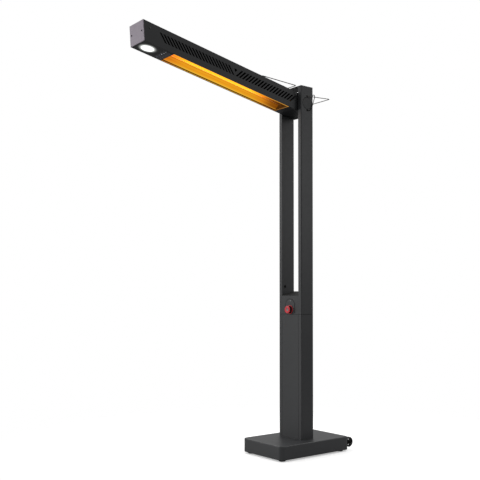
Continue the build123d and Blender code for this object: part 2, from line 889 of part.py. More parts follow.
with BuildPart() as knob_bezel:
    with BuildSketch(knob_frame.offset(escutcheon_thickness)):
        Circle(knob_radius + knob_running_gap + knob_bezel_width)
        Circle(knob_radius + knob_running_gap, mode=Mode.SUBTRACT)
    extrude(amount=knob_bezel_length)
    bezel_front = knob_bezel.edges().filter_by(GeomType.CIRCLE).group_by(Axis.Y)[0]
    fillet(bezel_front.sort_by(SortBy.RADIUS)[-1], knob_bezel_length / 3)

with BuildPart() as rotary_switch:
    with BuildSketch(knob_frame.offset(-knob_plate_thickness)):
        RectangleRounded(switch_size, switch_size, switch_corner)
    extrude(amount=-switch_depth)
    with BuildSketch(knob_frame.offset(-knob_plate_thickness)):
        Circle(switch_bush_radius)
    extrude(amount=knob_plate_thickness + escutcheon_thickness)
    with BuildSketch(knob_frame.offset(escutcheon_thickness)):
        Circle(switch_shaft_radius + shaft_clearance)
    extrude(amount=-switch_shaft_length, mode=Mode.SUBTRACT)

knob_back = escutcheon_thickness + knob_running_gap
knob_front = knob_back + knob_length
with BuildPart() as knob_body:
    with BuildSketch(knob_frame.offset(knob_back)):
        Circle(knob_radius)
        with PolarLocations(knob_radius + knob_flute_radius / 2, knob_flute_count):
            Circle(knob_flute_radius, mode=Mode.SUBTRACT)
    extrude(amount=knob_length - knob_ring_length)
    # the stem that turns inside the switch
    with BuildSketch(knob_frame.offset(knob_back)):
        Circle(switch_shaft_radius)
    extrude(amount=-(knob_back + switch_shaft_length * 2 / 3))

with BuildPart() as knob_ring:
    with BuildSketch(knob_frame.offset(knob_front - knob_ring_length)):
        Circle(knob_radius)
        Circle(knob_radius - knob_ring_width, mode=Mode.SUBTRACT)
    extrude(amount=knob_ring_length)
    ring_front = knob_ring.edges().filter_by(GeomType.CIRCLE).group_by(Axis.Y)[0]
    fillet(ring_front.sort_by(SortBy.RADIUS)[-1], knob_ring_length / 3)

cap_radius = knob_radius - knob_ring_width
with BuildPart() as knob_cap:
    with BuildSketch(knob_frame.offset(knob_front - knob_ring_length)):
        Circle(cap_radius)
    extrude(amount=knob_ring_length - knob_cap_recess)
    with BuildSketch(knob_frame.offset(knob_front - knob_cap_recess)):
        with Locations((0, cap_radius / 2)):
            SlotOverall(cap_radius - 2 * knob_pointer_margin, knob_pointer_width, rotation=90)
    extrude(amount=-knob_pointer_depth, mode=Mode.SUBTRACT)

board_half = slot_half - fit_gap - box_wall - power_board_margin
power_board_face = back_frame.offset(-box_wall - power_board_stand)
with BuildPart() as power_board:
    with BuildSketch(power_board_face):
        with Locations((0, seam_height + power_board_rise)):
            Rectangle(2 * board_half, power_board_height)
    extrude(amount=-board_thickness)
    with BuildSketch(power_board_face.offset(-board_thickness)):
        with Locations((0, seam_height + power_board_rise)):
            with GridLocations(power_part_pitch, 1, power_part_count, 1):
                Rectangle(power_part_width, power_part_height)
    extrude(amount=-power_part_depth)
    with BuildSketch(back_frame.offset(-box_wall)):
        with Locations((0, seam_height + power_board_rise)):
            with GridLocations(
                2 * (board_half - power_stand_inset),
                power_board_height - 2 * power_stand_inset,
                2,
                2,
            ):
                Circle(power_stand_radius)
    extrude(amount=-power_board_stand)

# ---------------------------------------------------------------- arm housing
arm_axis = Axis((0, 0, pivot_height), arm_direction)
arm_up_axis = Axis((0, 0, pivot_height), arm_up)
nose_axis = Axis((0, 0, pivot_height), nose_normal)
inner_half = half_arm - sheet
panel_half = half_arm - bottom_flange - fit_gap
cap_along = nose_cap_thickness / cos(radians(nose_slant))
panel_thickness = sheet + plate_seat


def nose_station(rise):
    """Station of the nose's outer face at this height above the arm's middle."""
    return arm_reach - (half_arm_height - rise) * slot_slope


def slanted_strip(start, end_inset, low, high):
    """Side outline between two heights, cut square behind and parallel to the nose in front."""
    Polyline(
        (start, low),
        (nose_station(low) - end_inset, low),
        (nose_station(high) - end_inset, high),
        (start, high),
        close=True,
    )


def side_plane(x):
    """The arm's side view, cut at x."""
    return arm_side.offset(-x)


def louvre(lean):
    """A leaning slot with level ends, drawn round its middle."""
    half = louvre_width / 2
    rise = louvre_height / 2
    shift = lean / 2
    Polygon(
        (-shift - half, -rise), (-shift + half, -rise), (shift + half, rise), (shift - half, rise)
    )


front_louvre_start = arm_reach - front_louvre_setback
louvre_steps = front_louvre_count + rear_louvre_count - 2
louvre_pitch = (front_louvre_start - rear_louvre_end - louvre_row_gap) / louvre_steps
front_louvres = [
    (front_louvre_start - i * louvre_pitch, louvre_rise) for i in range(front_louvre_count)
]
rear_louvres = [
    (rear_louvre_end + i * louvre_pitch, louvre_rise) for i in range(rear_louvre_count)
]
mark_station = rear_louvres[-1][0] + mark_beyond_row
block_bolt_x = half_arm - block_bolt_inset
block_bolt_low = block_bolt_low_inset - half_arm_height
block_bolt_places = [
    (side * block_bolt_x, rise) for side in (-1, 1) for rise in (block_bolt_low, block_bolt_high)
]
stud_station = arm_reach - stud_setback
nose_screw_x = half_arm - nose_screw_inset
nose_screw_places = [
    (side * nose_screw_x, -half_arm_height / cos(radians(nose_slant))) for side in (-1, 1)
]
window_front = arm_reach - window_setback
touch_width = 2 * (half_arm - touch_side_margin)
lamp_station = arm_reach - lamp_setback
lamp_neck_radius = lamp_radius - lamp_ring_width / 2
touch_station = window_front + touch_margin + touch_length / 2

with BuildPart() as arm_housing:
    with BuildSketch(arm_side) as outline:
        with BuildLine():
            slanted_strip(housing_rear, cap_along, -half_arm_height, half_arm_height)
        make_face()
        rear_top = outline.vertices().group_by(Axis.X)[0].sort_by(Axis.Y)[-1]
        fillet(rear_top, housing_rear_round)
    extrude(amount=half_arm, both=True)
    offset(
        amount=-sheet,
        openings=[
            arm_housing.faces().sort_by(arm_up_axis)[0],
            arm_housing.faces().sort_by(arm_axis)[-1],
        ],
    )
    for side in (-1, 1):
        # edge folded in under the side
        with BuildSketch(side_plane(side * half_arm)):
            with BuildLine():
                slanted_strip(housing_rear, cap_along, -half_arm_height, sheet - half_arm_height)
            make_face()
        extrude(amount=side * bottom_flange)
        # tab that takes a nose screw
        with BuildSketch(side_plane(side * half_arm)):
            with BuildLine():
                low = -nose_tab_height / 2
                high = nose_tab_height / 2
                Polyline(
                    (nose_station(low) - cap_along - sheet, low),
                    (nose_station(low) - cap_along, low),
                    (nose_station(high) - cap_along, high),
                    (nose_station(high) - cap_along - sheet, high),
                    close=True,
                )
            make_face()
        extrude(amount=side * nose_tab_width)
    with BuildSketch(nose_plane):
        with Locations(*nose_screw_places):
            Circle(screw_radius)
    extrude(amount=-screw_length, mode=Mode.SUBTRACT)
    with BuildSketch(arm_side):
        with Locations(*front_louvres):
            louvre(front_louvre_lean)
        with Locations(*rear_louvres):
            louvre(rear_louvre_lean)
        with Locations((mark_station, mark_rise)):
            RegularPolygon(mark_size, 3, rotation=-90)
        with Locations((stud_station, stud_rise)):
            Circle(stud_stem)
    extrude(amount=half_arm, both=True, mode=Mode.SUBTRACT)
    with BuildSketch(arm_frame.offset(housing_rear)):
        with Locations(*block_bolt_places):
            Circle(bolt_radius)
    extrude(amount=sheet, mode=Mode.SUBTRACT)

with BuildPart() as nose_cap:
    with BuildSketch(arm_side):
        with BuildLine():
            Polyline(
                (nose_station(-half_arm_height) - cap_along, -half_arm_height),
                (nose_station(-half_arm_height), -half_arm_height),
                (nose_station(half_arm_height), half_arm_height),
                (nose_station(half_arm_height) - cap_along, half_arm_height),
                close=True,
            )
        make_face()
    extrude(amount=half_arm, both=True)
    fillet(nose_cap.faces().sort_by(nose_axis)[-1].edges(), nose_cap_round)
    with BuildSketch(nose_plane):
        with Locations(*nose_screw_places):
            Circle(screw_radius + fit_gap)
    extrude(amount=-2 * nose_cap_thickness, mode=Mode.SUBTRACT)
nose_screws = pan_screw(nose_plane, nose_screw_places)

with BuildPart() as underside_front:
    for low, half in ((-half_arm_height, panel_half), (sheet - half_arm_height, inner_half)):
        layer = sheet if half == panel_half else plate_seat
        with BuildSketch(arm_side):
            with BuildLine():
                slanted_strip(window_front, cap_along, low, low + layer)
            make_face()
        extrude(amount=half, both=True)
    with BuildSketch(arm_under.offset(half_arm_height)):
        with Locations((0, lamp_station)):
            Circle(lamp_neck_radius)
    extrude(amount=-panel_thickness, mode=Mode.SUBTRACT)
    with BuildSketch(arm_under.offset(half_arm_height)):
        with Locations((0, touch_station)):
            RectangleRounded(touch_width, touch_length, touch_corner)
    extrude(amount=-touch_recess, mode=Mode.SUBTRACT)

with BuildPart() as underside_rear:
    rear_start = housing_rear + sheet
    rear_middle = (rear_start + window_rear) / 2
    with BuildSketch(arm_under.offset(half_arm_height)):
        with Locations((0, rear_middle)):
            Rectangle(2 * panel_half, window_rear - rear_start)
    extrude(amount=-sheet)
    with BuildSketch(arm_under.offset(half_arm_height - sheet)):
        with Locations((0, rear_middle)):
            Rectangle(2 * inner_half, window_rear - rear_start)
    extrude(amount=-plate_seat)

# ---------------------------------------------------------------- heater
reflector_half = half_arm - sheet - reflector_margin
reflector_edge = half_arm_height - reflector_edge_inset
window_length = window_front - window_rear
end_floor = panel_thickness - half_arm_height

with BuildPart() as reflector:
    with BuildSketch(arm_frame.offset(window_rear)):
        with BuildLine():
            trough = Polyline(
                (-inner_half, reflector_turn_up - reflector_edge),
                (-inner_half, -reflector_edge),
                (-reflector_half, -reflector_edge),
                (-reflector_flat, -reflector_top),
                (reflector_flat, -reflector_top),
                (reflector_half, -reflector_edge),
                (inner_half, -reflector_edge),
                (inner_half, reflector_turn_up - reflector_edge),
            )
            offset(trough, amount=reflector_sheet, side=Side.LEFT)
        make_face()
    extrude(amount=window_length)

with BuildPart() as reflector_ends:
    for start, inward in ((window_rear, 1), (window_front, -1)):
        with BuildSketch(arm_frame.offset(start)):
            with Locations((0, (end_floor - reflector_top + reflector_sheet) / 2)):
                Rectangle(2 * reflector_half, reflector_sheet - reflector_top - end_floor)
            with Locations((0, -tube_below_middle)):
                Circle(tube_radius + fit_gap, mode=Mode.SUBTRACT)
        extrude(amount=-inward * reflector_sheet)
        with BuildSketch(arm_frame.offset(start)):
            with Locations((0, end_floor + reflector_sheet / 2)):
                Rectangle(2 * reflector_half, reflector_sheet)
        extrude(amount=inward * end_lip)

holder_starts = (
    (window_rear - reflector_sheet, -1),
    (window_front + reflector_sheet, 1),
)
with BuildPart() as tube_holders:
    for start, outward in holder_starts:
        with BuildSketch(arm_frame.offset(start)):
            with Locations((0, -tube_below_middle)):
                RectangleRounded(holder_width, holder_height, holder_corner)
        extrude(amount=outward * holder_length)
        with BuildSketch(arm_frame.offset(start)):
            with Locations((0, -tube_below_middle)):
                Circle(tube_radius)
        extrude(amount=outward * (holder_length - holder_end), mode=Mode.SUBTRACT)

tube_reach = reflector_sheet + holder_length - holder_end
with BuildPart() as heater_tube:
    with BuildSketch(arm_frame.offset(window_rear - tube_reach)):
        with Locations((0, -tube_below_middle)):
            Circle(tube_radius)
            Circle(tube_radius - tube_wall_thickness, mode=Mode.SUBTRACT)
    extrude(amount=window_length + 2 * tube_reach)

with BuildPart() as heater_filament:
    with BuildSketch(arm_frame.offset(window_rear - tube_reach)):
        with Locations((0, -tube_below_middle)):
            Rectangle(2 * (tube_radius - tube_wall_thickness - fit_gap), filament_thickness)
    extrude(amount=window_length + 2 * tube_reach)

roof = half_arm_height - sheet
shield_half = half_arm - shield_side_margin
with BuildPart() as heat_shield:
    with BuildSketch(arm_frame.offset(window_rear + shield_margin)):
        with BuildLine():
            hat = Polyline(
                (-shield_half - shield_flange, roof - reflector_sheet),
                (-shield_half, roof - reflector_sheet),
                (-shield_half, roof - shield_drop),
                (shield_half, roof - shield_drop),
                (shield_half, roof - reflector_sheet),
                (shield_half + shield_flange, roof - reflector_sheet),
            )
            offset(hat, amount=reflector_sheet, side=Side.LEFT)
        make_face()
    extrude(amount=window_length - 2 * shield_margin)

# ---------------------------------------------------------------- lamp and touch panel
lens_radius = lamp_radius - lamp_ring_width
inner_floor = half_arm_height - panel_thickness

with BuildPart() as lamp_ring:
    with BuildSketch(arm_under.offset(half_arm_height)):
        with Locations((0, lamp_station)):
            Circle(lamp_radius)
            Circle(lens_radius, mode=Mode.SUBTRACT)
    extrude(amount=lamp_ring_proud)
    ring_rims = lamp_ring.edges().group_by(arm_up_axis)[0]
    fillet(ring_rims.sort_by(SortBy.RADIUS)[-1], lamp_ring_proud / 2)
    with BuildSketch(arm_under.offset(half_arm_height)):
        with Locations((0, lamp_station)):
            Circle(lamp_neck_radius)
            Circle(lens_radius, mode=Mode.SUBTRACT)
    extrude(amount=-lamp_cup_height)

with BuildPart() as lamp_lens:
    with BuildSketch(arm_under.offset(half_arm_height + lamp_ring_proud / 2)):
        with Locations((0, lamp_station)):
            Circle(lens_radius)
    extrude(amount=-lens_thickness)

lamp_board_depth = half_arm_height - lamp_cup_height
with BuildPart() as lamp_board:
    with BuildSketch(arm_under.offset(lamp_board_depth)):
        with Locations((0, lamp_station)):
            Circle(lamp_neck_radius)
    extrude(amount=-board_thickness)
    with BuildSketch(arm_under.offset(lamp_board_depth)):
        with Locations((0, lamp_station)):
            with PolarLocations(led_circle, led_count):
                Rectangle(led_size, led_size)
    extrude(amount=board_thickness)

with BuildPart() as touch_panel:
    with BuildSketch(arm_under.offset(half_arm_height + touch_proud)):
        with Locations((0, touch_station)):
            RectangleRounded(touch_width, touch_length, touch_corner)
    extrude(amount=-(touch_proud + touch_recess))

with BuildPart() as control_board:
    with BuildSketch(arm_under.offset(inner_floor)):
        with Locations((0, touch_station)):
            with GridLocations(
                touch_width - 2 * board_stand_x_inset, touch_length - 2 * board_stand_y_inset, 2, 2
            ):
                Circle(board_stand)
    extrude(amount=-board_stand)
    with BuildSketch(arm_under.offset(inner_floor - board_stand)):
        with Locations((0, touch_station)):
            Rectangle(touch_width - 2 * board_margin, touch_length - 2 * board_margin)
    extrude(amount=-board_thickness)
    with BuildSketch(arm_under.offset(inner_floor - board_stand - board_thickness)):
        with Locations((0, touch_station + board_part_shift)):
            with GridLocations(board_part_pitch, 1, 2, 1):
                Rectangle(board_part_width, board_part_length)
    extrude(amount=-board_part_height)

# ---------------------------------------------------------------- hinge, turning side
block_half = half_arm - block_inset
with BuildPart() as hinge_block:
    with BuildSketch(arm_side) as block_outline:
        with BuildLine():
            Polyline(
                (housing_rear, -half_arm_height),
                (housing_rear, half_arm_height),
                (-block_tail, half_arm_height),
                (-block_tail, -half_arm_height),
                close=True,
            )
        make_face()
        tail_top = block_outline.vertices().group_by(Axis.X)[0].sort_by(Axis.Y)[-1]
        fillet(tail_top, block_round)
    extrude(amount=block_half, both=True)
    # hollow inside, open at the back below the round
    with BuildSketch(arm_side) as cavity:
        with Locations(((housing_rear - block_tail) / 2, 0)):
            Rectangle(
                housing_rear + block_tail - 2 * block_wall, 2 * (half_arm_height - block_wall)
            )
        cavity_top = cavity.vertices().group_by(Axis.X)[0].sort_by(Axis.Y)[-1]
        fillet(cavity_top, block_round - block_wall)
        back_opening = 2 * half_arm_height - block_round - block_wall
        with Locations((-block_tail, block_wall - half_arm_height + back_opening / 2)):
            Rectangle(3 * block_wall, back_opening)
    extrude(amount=block_half - block_wall, both=True, mode=Mode.SUBTRACT)
    with BuildSketch(arm_frame.offset(housing_rear - block_wall)):
        with Locations(*block_bolt_places):
            Circle(block_boss_radius)
    extrude(amount=-block_boss_length)
    for side in (-1, 1):
        with BuildSketch(side_plane(side * half_arm)):
            Circle(block_hub_radius)
        extrude(amount=side * (block_inset + block_wall))
        with BuildSketch(side_plane(side * block_half)):
            Circle(shaft_radius + block_wall)
        extrude(amount=side * block_hub_length)
    with BuildSketch(arm_side):
        Circle(shaft_radius)
    extrude(amount=half_arm, both=True, mode=Mode.SUBTRACT)
    with BuildSketch(arm_frame.offset(housing_rear)):
        with Locations(*block_bolt_places):
            Circle(bolt_radius)
    extrude(amount=-(block_wall + block_boss_length), mode=Mode.SUBTRACT)

with BuildPart() as arm_brace:
    brace_start = housing_rear + sheet
    brace_middle = (brace_top - inner_floor) / 2
    with BuildSketch(arm_frame.offset(brace_start)):
        with Locations((0, brace_middle)):
            Rectangle(2 * inner_half, brace_top + inner_floor)
        with Locations(*block_bolt_places):
            Circle(bolt_radius + fit_gap, mode=Mode.SUBTRACT)
    extrude(amount=brace_thickness)
    with BuildSketch(arm_frame.offset(brace_start)):
        for side in (-1, 1):
            with Locations((side * (inner_half - brace_thickness / 2), brace_middle)):
                Rectangle(brace_thickness, brace_top + inner_floor)
    extrude(amount=brace_length)

with BuildPart() as hinge_bolts:
    with BuildSketch(arm_frame.offset(brace_start + brace_thickness)):
        with Locations(*block_bolt_places):
            RegularPolygon(bolt_head_radius, 6)
    extrude(amount=bolt_head_height)
    with BuildSketch(arm_frame.offset(brace_start + brace_thickness)):
        with Locations(*block_bolt_places):
            Circle(bolt_radius)
    extrude(amount=-(brace_thickness + sheet + block_wall + block_boss_length))

stack_start = slot_half + tube_wall + bush_flange_thickness + washer_gap
nut_start = stack_start + nut_flange_thickness
shaft_end = nut_start + nut_thickness + shaft_overhang
with BuildPart() as hinge_shaft:
    with BuildSketch(arm_side):
        Circle(shaft_radius)
    extrude(amount=shaft_end, both=True)
    chamfer(hinge_shaft.edges().filter_by(GeomType.CIRCLE), shaft_chamfer)
    with BuildSketch(arm_side):
        Circle(shaft_bore)
    extrude(amount=shaft_end, both=True, mode=Mode.SUBTRACT)

with BuildPart() as shaft_nuts:
    for side in (-1, 1):
        with BuildSketch(side_frame(side * stack_start)):
            with Locations((0, pivot_height)):
                Circle(nut_flange_radius)
        extrude(amount=side * nut_flange_thickness)
        with BuildSketch(side_frame(side * nut_start)):
            with Locations((0, pivot_height)):
                RegularPolygon(nut_radius, 6)
        extrude(amount=side * nut_thickness)
    with BuildSketch(arm_side):
        Circle(shaft_radius)
    extrude(amount=shaft_end, both=True, mode=Mode.SUBTRACT)

with BuildPart() as catch_studs:
    for side in (-1, 1):
        with BuildSketch(side_plane(side * half_arm)):
            with Locations((stud_station, stud_rise)):
                Circle(stud_radius)
        extrude(amount=-side * stud_proud)
        rim = catch_studs.edges().group_by(Axis.X)[-1 if side > 0 else 0]
        fillet(rim, stud_round)
        with BuildSketch(side_plane(side * half_arm)):
            with Locations((stud_station, stud_rise)):
                Circle(stud_stem)
        extrude(amount=side * (sheet + stud_nut_thickness))
        with BuildSketch(side_plane(side * inner_half)):
            with Locations((stud_station, stud_rise)):
                RegularPolygon(stud_radius, 6)
        extrude(amount=side * stud_nut_thickness)

# ---------------------------------------------------------------- wire stay on the arm
stay_half_width = half_arm - stay_inset
stay_rise = half_arm_height + clip_floor + stay_wire_radius
bar_y = -(half_depth + stay_clear_of_header)
bar_z = pivot_below_top + stay_above_header
bar_station = Vector(0, bar_y, bar_z).dot(arm_direction)
bar_rise = Vector(0, bar_y, bar_z).dot(arm_up)
stay_leg = Vector(bar_station - stay_pivot, bar_rise - stay_rise, 0)
stay_length = stay_leg.length
stay_origin = arm_frame.from_local_coords((0, stay_rise, stay_pivot))
stay_direction = arm_direction * (stay_leg.X / stay_length) + arm_up * (stay_leg.Y / stay_length)
stay_plane = Plane(
    origin=stay_origin, x_dir=(1, 0, 0), z_dir=Vector(1, 0, 0).cross(stay_direction)
)

with BuildPart() as wire_stay:
    with BuildLine(stay_plane) as stay_path:
        FilletPolyline(
            (stay_pin_length - stay_half_width, 0),
            (-stay_half_width, 0),
            (-stay_half_width, stay_length),
            (stay_half_width, stay_length),
            (stay_half_width, 0),
            (stay_half_width - stay_pin_length, 0),
            radius=stay_bend,
        )
    with BuildSketch(Plane(origin=stay_path.wire() @ 0, z_dir=stay_path.wire() % 0)):
        Circle(stay_wire_radius)
    sweep(path=stay_path.wire())

with BuildPart() as stay_clips:
    clip_height = clip_floor + 2 * stay_wire_radius + clip_floor
    clip_x = stay_half_width - stay_pin_length + clip_width / 2
    with BuildSketch(arm_frame.offset(stay_pivot - clip_length / 2)):
        with Locations((0, half_arm_height + clip_height / 2)):
            with GridLocations(2 * clip_x, 1, 2, 1):
                Rectangle(clip_width, clip_height)
    extrude(amount=clip_length)
    with BuildSketch(arm_side):
        with Locations((stay_pivot, stay_rise)):
            Circle(stay_wire_radius + shaft_clearance)
    extrude(amount=half_arm, both=True, mode=Mode.SUBTRACT)

# ---------------------------------------------------------------- wire bail at the back
bail_x = half_width + bail_gap + bail_wire_radius
bail_length = (bail_reach**2 + bail_rise**2) ** 0.5
bail_plane = Plane(
    origin=(0, 0, bail_height),
    x_dir=(1, 0, 0),
    z_dir=Vector(1, 0, 0).cross(Vector(0, bail_reach, bail_rise)),
)
with BuildPart() as rear_bail:
    with BuildLine(bail_plane) as bail_path:
        FilletPolyline(
            (bail_pin_length - half_width, 0),
            (-bail_x, 0),
            (-bail_x, bail_length),
            (bail_x, bail_length),
            (bail_x, 0),
            (half_width - bail_pin_length, 0),
            radius=[bail_pin_bend, bail_bend, bail_bend, bail_pin_bend],
        )
    with BuildSketch(Plane(origin=bail_path.wire() @ 0, z_dir=bail_path.wire() % 0)):
        Circle(bail_wire_radius)
    sweep(path=bail_path.wire())

# ---------------------------------------------------------------- cable loop on the right upright
cable_x = half_width + cable_stand_off
cable_back = half_depth + cable_bulge
cable_points = [
    (half_width - tube_wall - collar_thickness, 0, cable_low),
    (cable_x, 0, cable_low),
    *[(cable_x - inset, half_depth - y, cable_low + rise) for inset, y, rise in cable_route],
    (cable_x - cable_back_inset, cable_back, cable_low + cable_back_rise),
    (cable_end_x, cable_back, cable_high),
    (cable_end_x, half_depth - tube_wall - collar_thickness, cable_high),
]
with BuildPart() as side_cable:
    with BuildLine() as cable_path:
        FilletPolyline(*cable_points, radius=cable_bends)
    with BuildSketch(Plane(origin=cable_path.wire() @ 0, z_dir=cable_path.wire() % 0)):
        Circle(cable_radius)
    sweep(path=cable_path.wire())

# ---------------------------------------------------------------- the stand's screws
with BuildPart() as stand_screws:
    add(foot_screws.part)
    add(bracket_screws.part)
    add(joiner_screws.part)
    for screw in header_screws:
        add(screw.part)

# ---------------------------------------------------------------- export
nodes = {
    "base_cover": base_cover,
    "base_ballast": base_ballast,
    "column_flange": column_flange,
    "flange_bolts": flange_bolts,
    "rubber_feet": rubber_feet,
    "stand_screws": stand_screws,
    "wheel_brackets": wheel_brackets,
    "wheel_axle": wheel_axle,
    "wheel_rim_left": wheel_rim_left,
    "wheel_tyre_left": wheel_tyre_left,
    "wheel_rim_right": wheel_rim_right,
    "wheel_tyre_right": wheel_tyre_right,
    "lower_column": lower_column,
    "column_joiners": column_joiners,
    "cable_gland": cable_gland,
    "terminal_block": terminal_block,
    "upright_left": upright_left,
    "upright_right": upright_right,
    "upright_caps": upright_caps,
    "header": header,
    "stop_buffers": stop_buffers,
    "grommets": grommets,
    "hinge_bushes": hinge_bushes,
    "friction_washers": friction_washers,
    "pivot_caps": pivot_caps,
    "slot_floor": slot_floor,
    "control_box": control_box,
    "knob_plate": knob_plate,
    "knob_bezel": knob_bezel,
    "rotary_switch": rotary_switch,
    "knob_body": knob_body,
    "knob_ring": knob_ring,
    "knob_cap": knob_cap,
    "power_board": power_board,
    "arm_housing": arm_housing,
    "nose_cap": nose_cap,
    "nose_screws": nose_screws,
    "underside_front": underside_front,
    "underside_rear": underside_rear,
    "reflector": reflector,
    "reflector_ends": reflector_ends,
    "tube_holders": tube_holders,
    "heater_tube": heater_tube,
    "heater_filament": heater_filament,
    "heat_shield": heat_shield,
    "lamp_ring": lamp_ring,
    "lamp_lens": lamp_lens,
    "lamp_board": lamp_board,
    "touch_panel": touch_panel,
    "control_board": control_board,
    "hinge_block": hinge_block,
    "arm_brace": arm_brace,
    "hinge_bolts": hinge_bolts,
    "hinge_shaft": hinge_shaft,
    "shaft_nuts": shaft_nuts,
    "catch_studs": catch_studs,
    "wire_stay": wire_stay,
    "stay_clips": stay_clips,
    "rear_bail": rear_bail,
    "side_cable": side_cable,
}
for name, piece in nodes.items():
    piece.part.label = name
    export_step(piece.part, f"parts/{name}.step")
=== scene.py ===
"""Folding patio heater tower: its finishes, its wound, printed and moulded pieces, and the studio.

Blender works in metres with +Z up. Sizes are written in millimetres and multiplied by MM. The
heater arm reaches towards -Y, tilted a little above level at rest, and has a frame of its own:
x across it, stations along it from the hinge, and rises from its middle line.
"""

import json
import math

import bpy
import numpy as np
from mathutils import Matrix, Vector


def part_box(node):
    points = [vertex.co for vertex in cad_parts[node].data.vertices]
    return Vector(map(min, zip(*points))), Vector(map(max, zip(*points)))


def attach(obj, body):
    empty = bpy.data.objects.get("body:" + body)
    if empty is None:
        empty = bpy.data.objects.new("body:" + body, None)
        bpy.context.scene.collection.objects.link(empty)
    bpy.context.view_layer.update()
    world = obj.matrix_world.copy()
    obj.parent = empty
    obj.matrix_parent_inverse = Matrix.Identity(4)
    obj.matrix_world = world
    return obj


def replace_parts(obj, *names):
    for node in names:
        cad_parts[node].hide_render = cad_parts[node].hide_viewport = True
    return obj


MM = 0.001

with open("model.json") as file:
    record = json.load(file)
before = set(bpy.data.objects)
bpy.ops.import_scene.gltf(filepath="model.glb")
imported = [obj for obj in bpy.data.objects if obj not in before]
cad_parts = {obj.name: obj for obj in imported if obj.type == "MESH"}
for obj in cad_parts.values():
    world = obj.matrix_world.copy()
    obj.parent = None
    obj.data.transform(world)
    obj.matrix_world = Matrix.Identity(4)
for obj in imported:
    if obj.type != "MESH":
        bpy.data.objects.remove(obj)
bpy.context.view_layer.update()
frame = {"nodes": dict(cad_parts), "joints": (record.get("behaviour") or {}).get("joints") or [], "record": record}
nodes = frame["nodes"]
joint_place = {joint["name"]: np.array(joint["pos_m"]) for joint in frame["joints"]}

# directions: the arm's own frame, and the tower's front
PIVOT = joint_place["arm_fold"]
TILT = math.radians(10.7)
ACROSS = np.array([1.0, 0.0, 0.0])
ALONG = np.array([0.0, -math.cos(TILT), math.sin(TILT)])
UP = np.array([0.0, math.sin(TILT), math.cos(TILT)])
FRONT = np.array([0.0, -1.0, 0.0])


def corners_of(name):
    """The lowest and highest corners of a solid's box, in millimetres."""
    return (np.array(corner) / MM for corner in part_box(name))


# sizes that the solids have, in millimetres
arm_reach = 1095.0  # from the hinge to the nose's upper corner
arm_half_width = 66.5
arm_half_height = 50.5
nose_slant = math.radians(14.4)
lens_station = 1009.0
tube_rise = -28.0
cover_low, cover_high = corners_of("base_cover")
column_low, column_high = corners_of("lower_column")
column_half = (column_high - column_low)[:2] / 2  # across and from front to back
column_corner = 6.0
seam_height = 796.0
knob_height = joint_place["knob_turn"][2] / MM
axle_height = joint_place["wheel_left_spin"][2] / MM
hinge_height = PIVOT[2] / MM
side_hole_reach = 40.0  # from the hinge down to the cable's hole and up to the bail's


# ------------------------------------------------------------------ shader helpers
def colour(text):
    """A colour written as sRGB hex, as the linear RGBA that Blender works in."""
    parts = [int(text[i : i + 2], 16) / 255 for i in (1, 3, 5)]
    linear = [c / 12.92 if c <= 0.04045 else ((c + 0.055) / 1.055) ** 2.4 for c in parts]
    return (*linear, 1.0)


def add(tree, kind, inputs=None, stops=(), **settings):
    """Adds a node and returns its first output, or the node itself if it has none.

    Each input is given a value, or is joined to the socket given for it. The stops of a colour
    ramp are pairs of a position and an sRGB hex colour.
    """
    node = tree.nodes.new("ShaderNode" + kind)
    for name, value in settings.items():
        setattr(node, name, value)
    for name, value in (inputs or {}).items():
        if isinstance(value, bpy.types.NodeSocket):
            tree.links.new(value, node.inputs[name])
        else:
            node.inputs[name].default_value = value
    for i, (position, shade) in enumerate(stops):
        points = node.color_ramp.elements
        point = points[i] if i < len(points) else points.new(position)
        point.position, point.color = position, colour(shade)
    return next((out for out in node.outputs if out.enabled), node)


def new_material(name, **inputs):
    """A material with a Principled shader; returns it, its tree, its shader and the place."""
    material = bpy.data.materials.new(name)
    material.use_nodes = True
    tree = material.node_tree
    tree.nodes.clear()
    values = {key.replace("_", " "): value for key, value in inputs.items()}
    shader = add(tree, "BsdfPrincipled", values).node
    add(tree, "OutputMaterial", {"Surface": shader.outputs["BSDF"]})
    place = add(tree, "TexCoord").node.outputs["Object"]
    return material, tree, shader, place


def finish_with(tree, shader, **sockets):
    """Joins sockets to the shader's inputs of those names."""
    for name, socket in sockets.items():
        tree.links.new(socket, shader.inputs[name.replace("_", " ")])


def mottle(tree, place, size, detail=2.0, stretch=(1, 1, 1)):
    """Uneven spots about size metres across, longer along the stretched axes, from 0 to 1.

    The noise keeps near its middle, so 0.3 to 0.7 of it is spread over the whole range.
    """
    narrow = [1 / s for s in stretch]
    squeezed = add(tree, "VectorMath", {0: place, 1: narrow}, operation="MULTIPLY")
    spots = add(tree, "TexNoise", {"Vector": squeezed, "Scale": 1 / size, "Detail": detail})
    return add(tree, "MapRange", {"Value": spots, "From Min": 0.3, "From Max": 0.7})


def relief(tree, shader, height, depth, edge):
    """Gives the shader a relief of that depth, over edges softened to that radius."""
    soft = add(tree, "Bevel", {"Radius": edge}, samples=4)
    bump = add(tree, "Bump", {"Height": height, "Distance": depth, "Normal": soft})
    finish_with(tree, shader, Normal=bump)


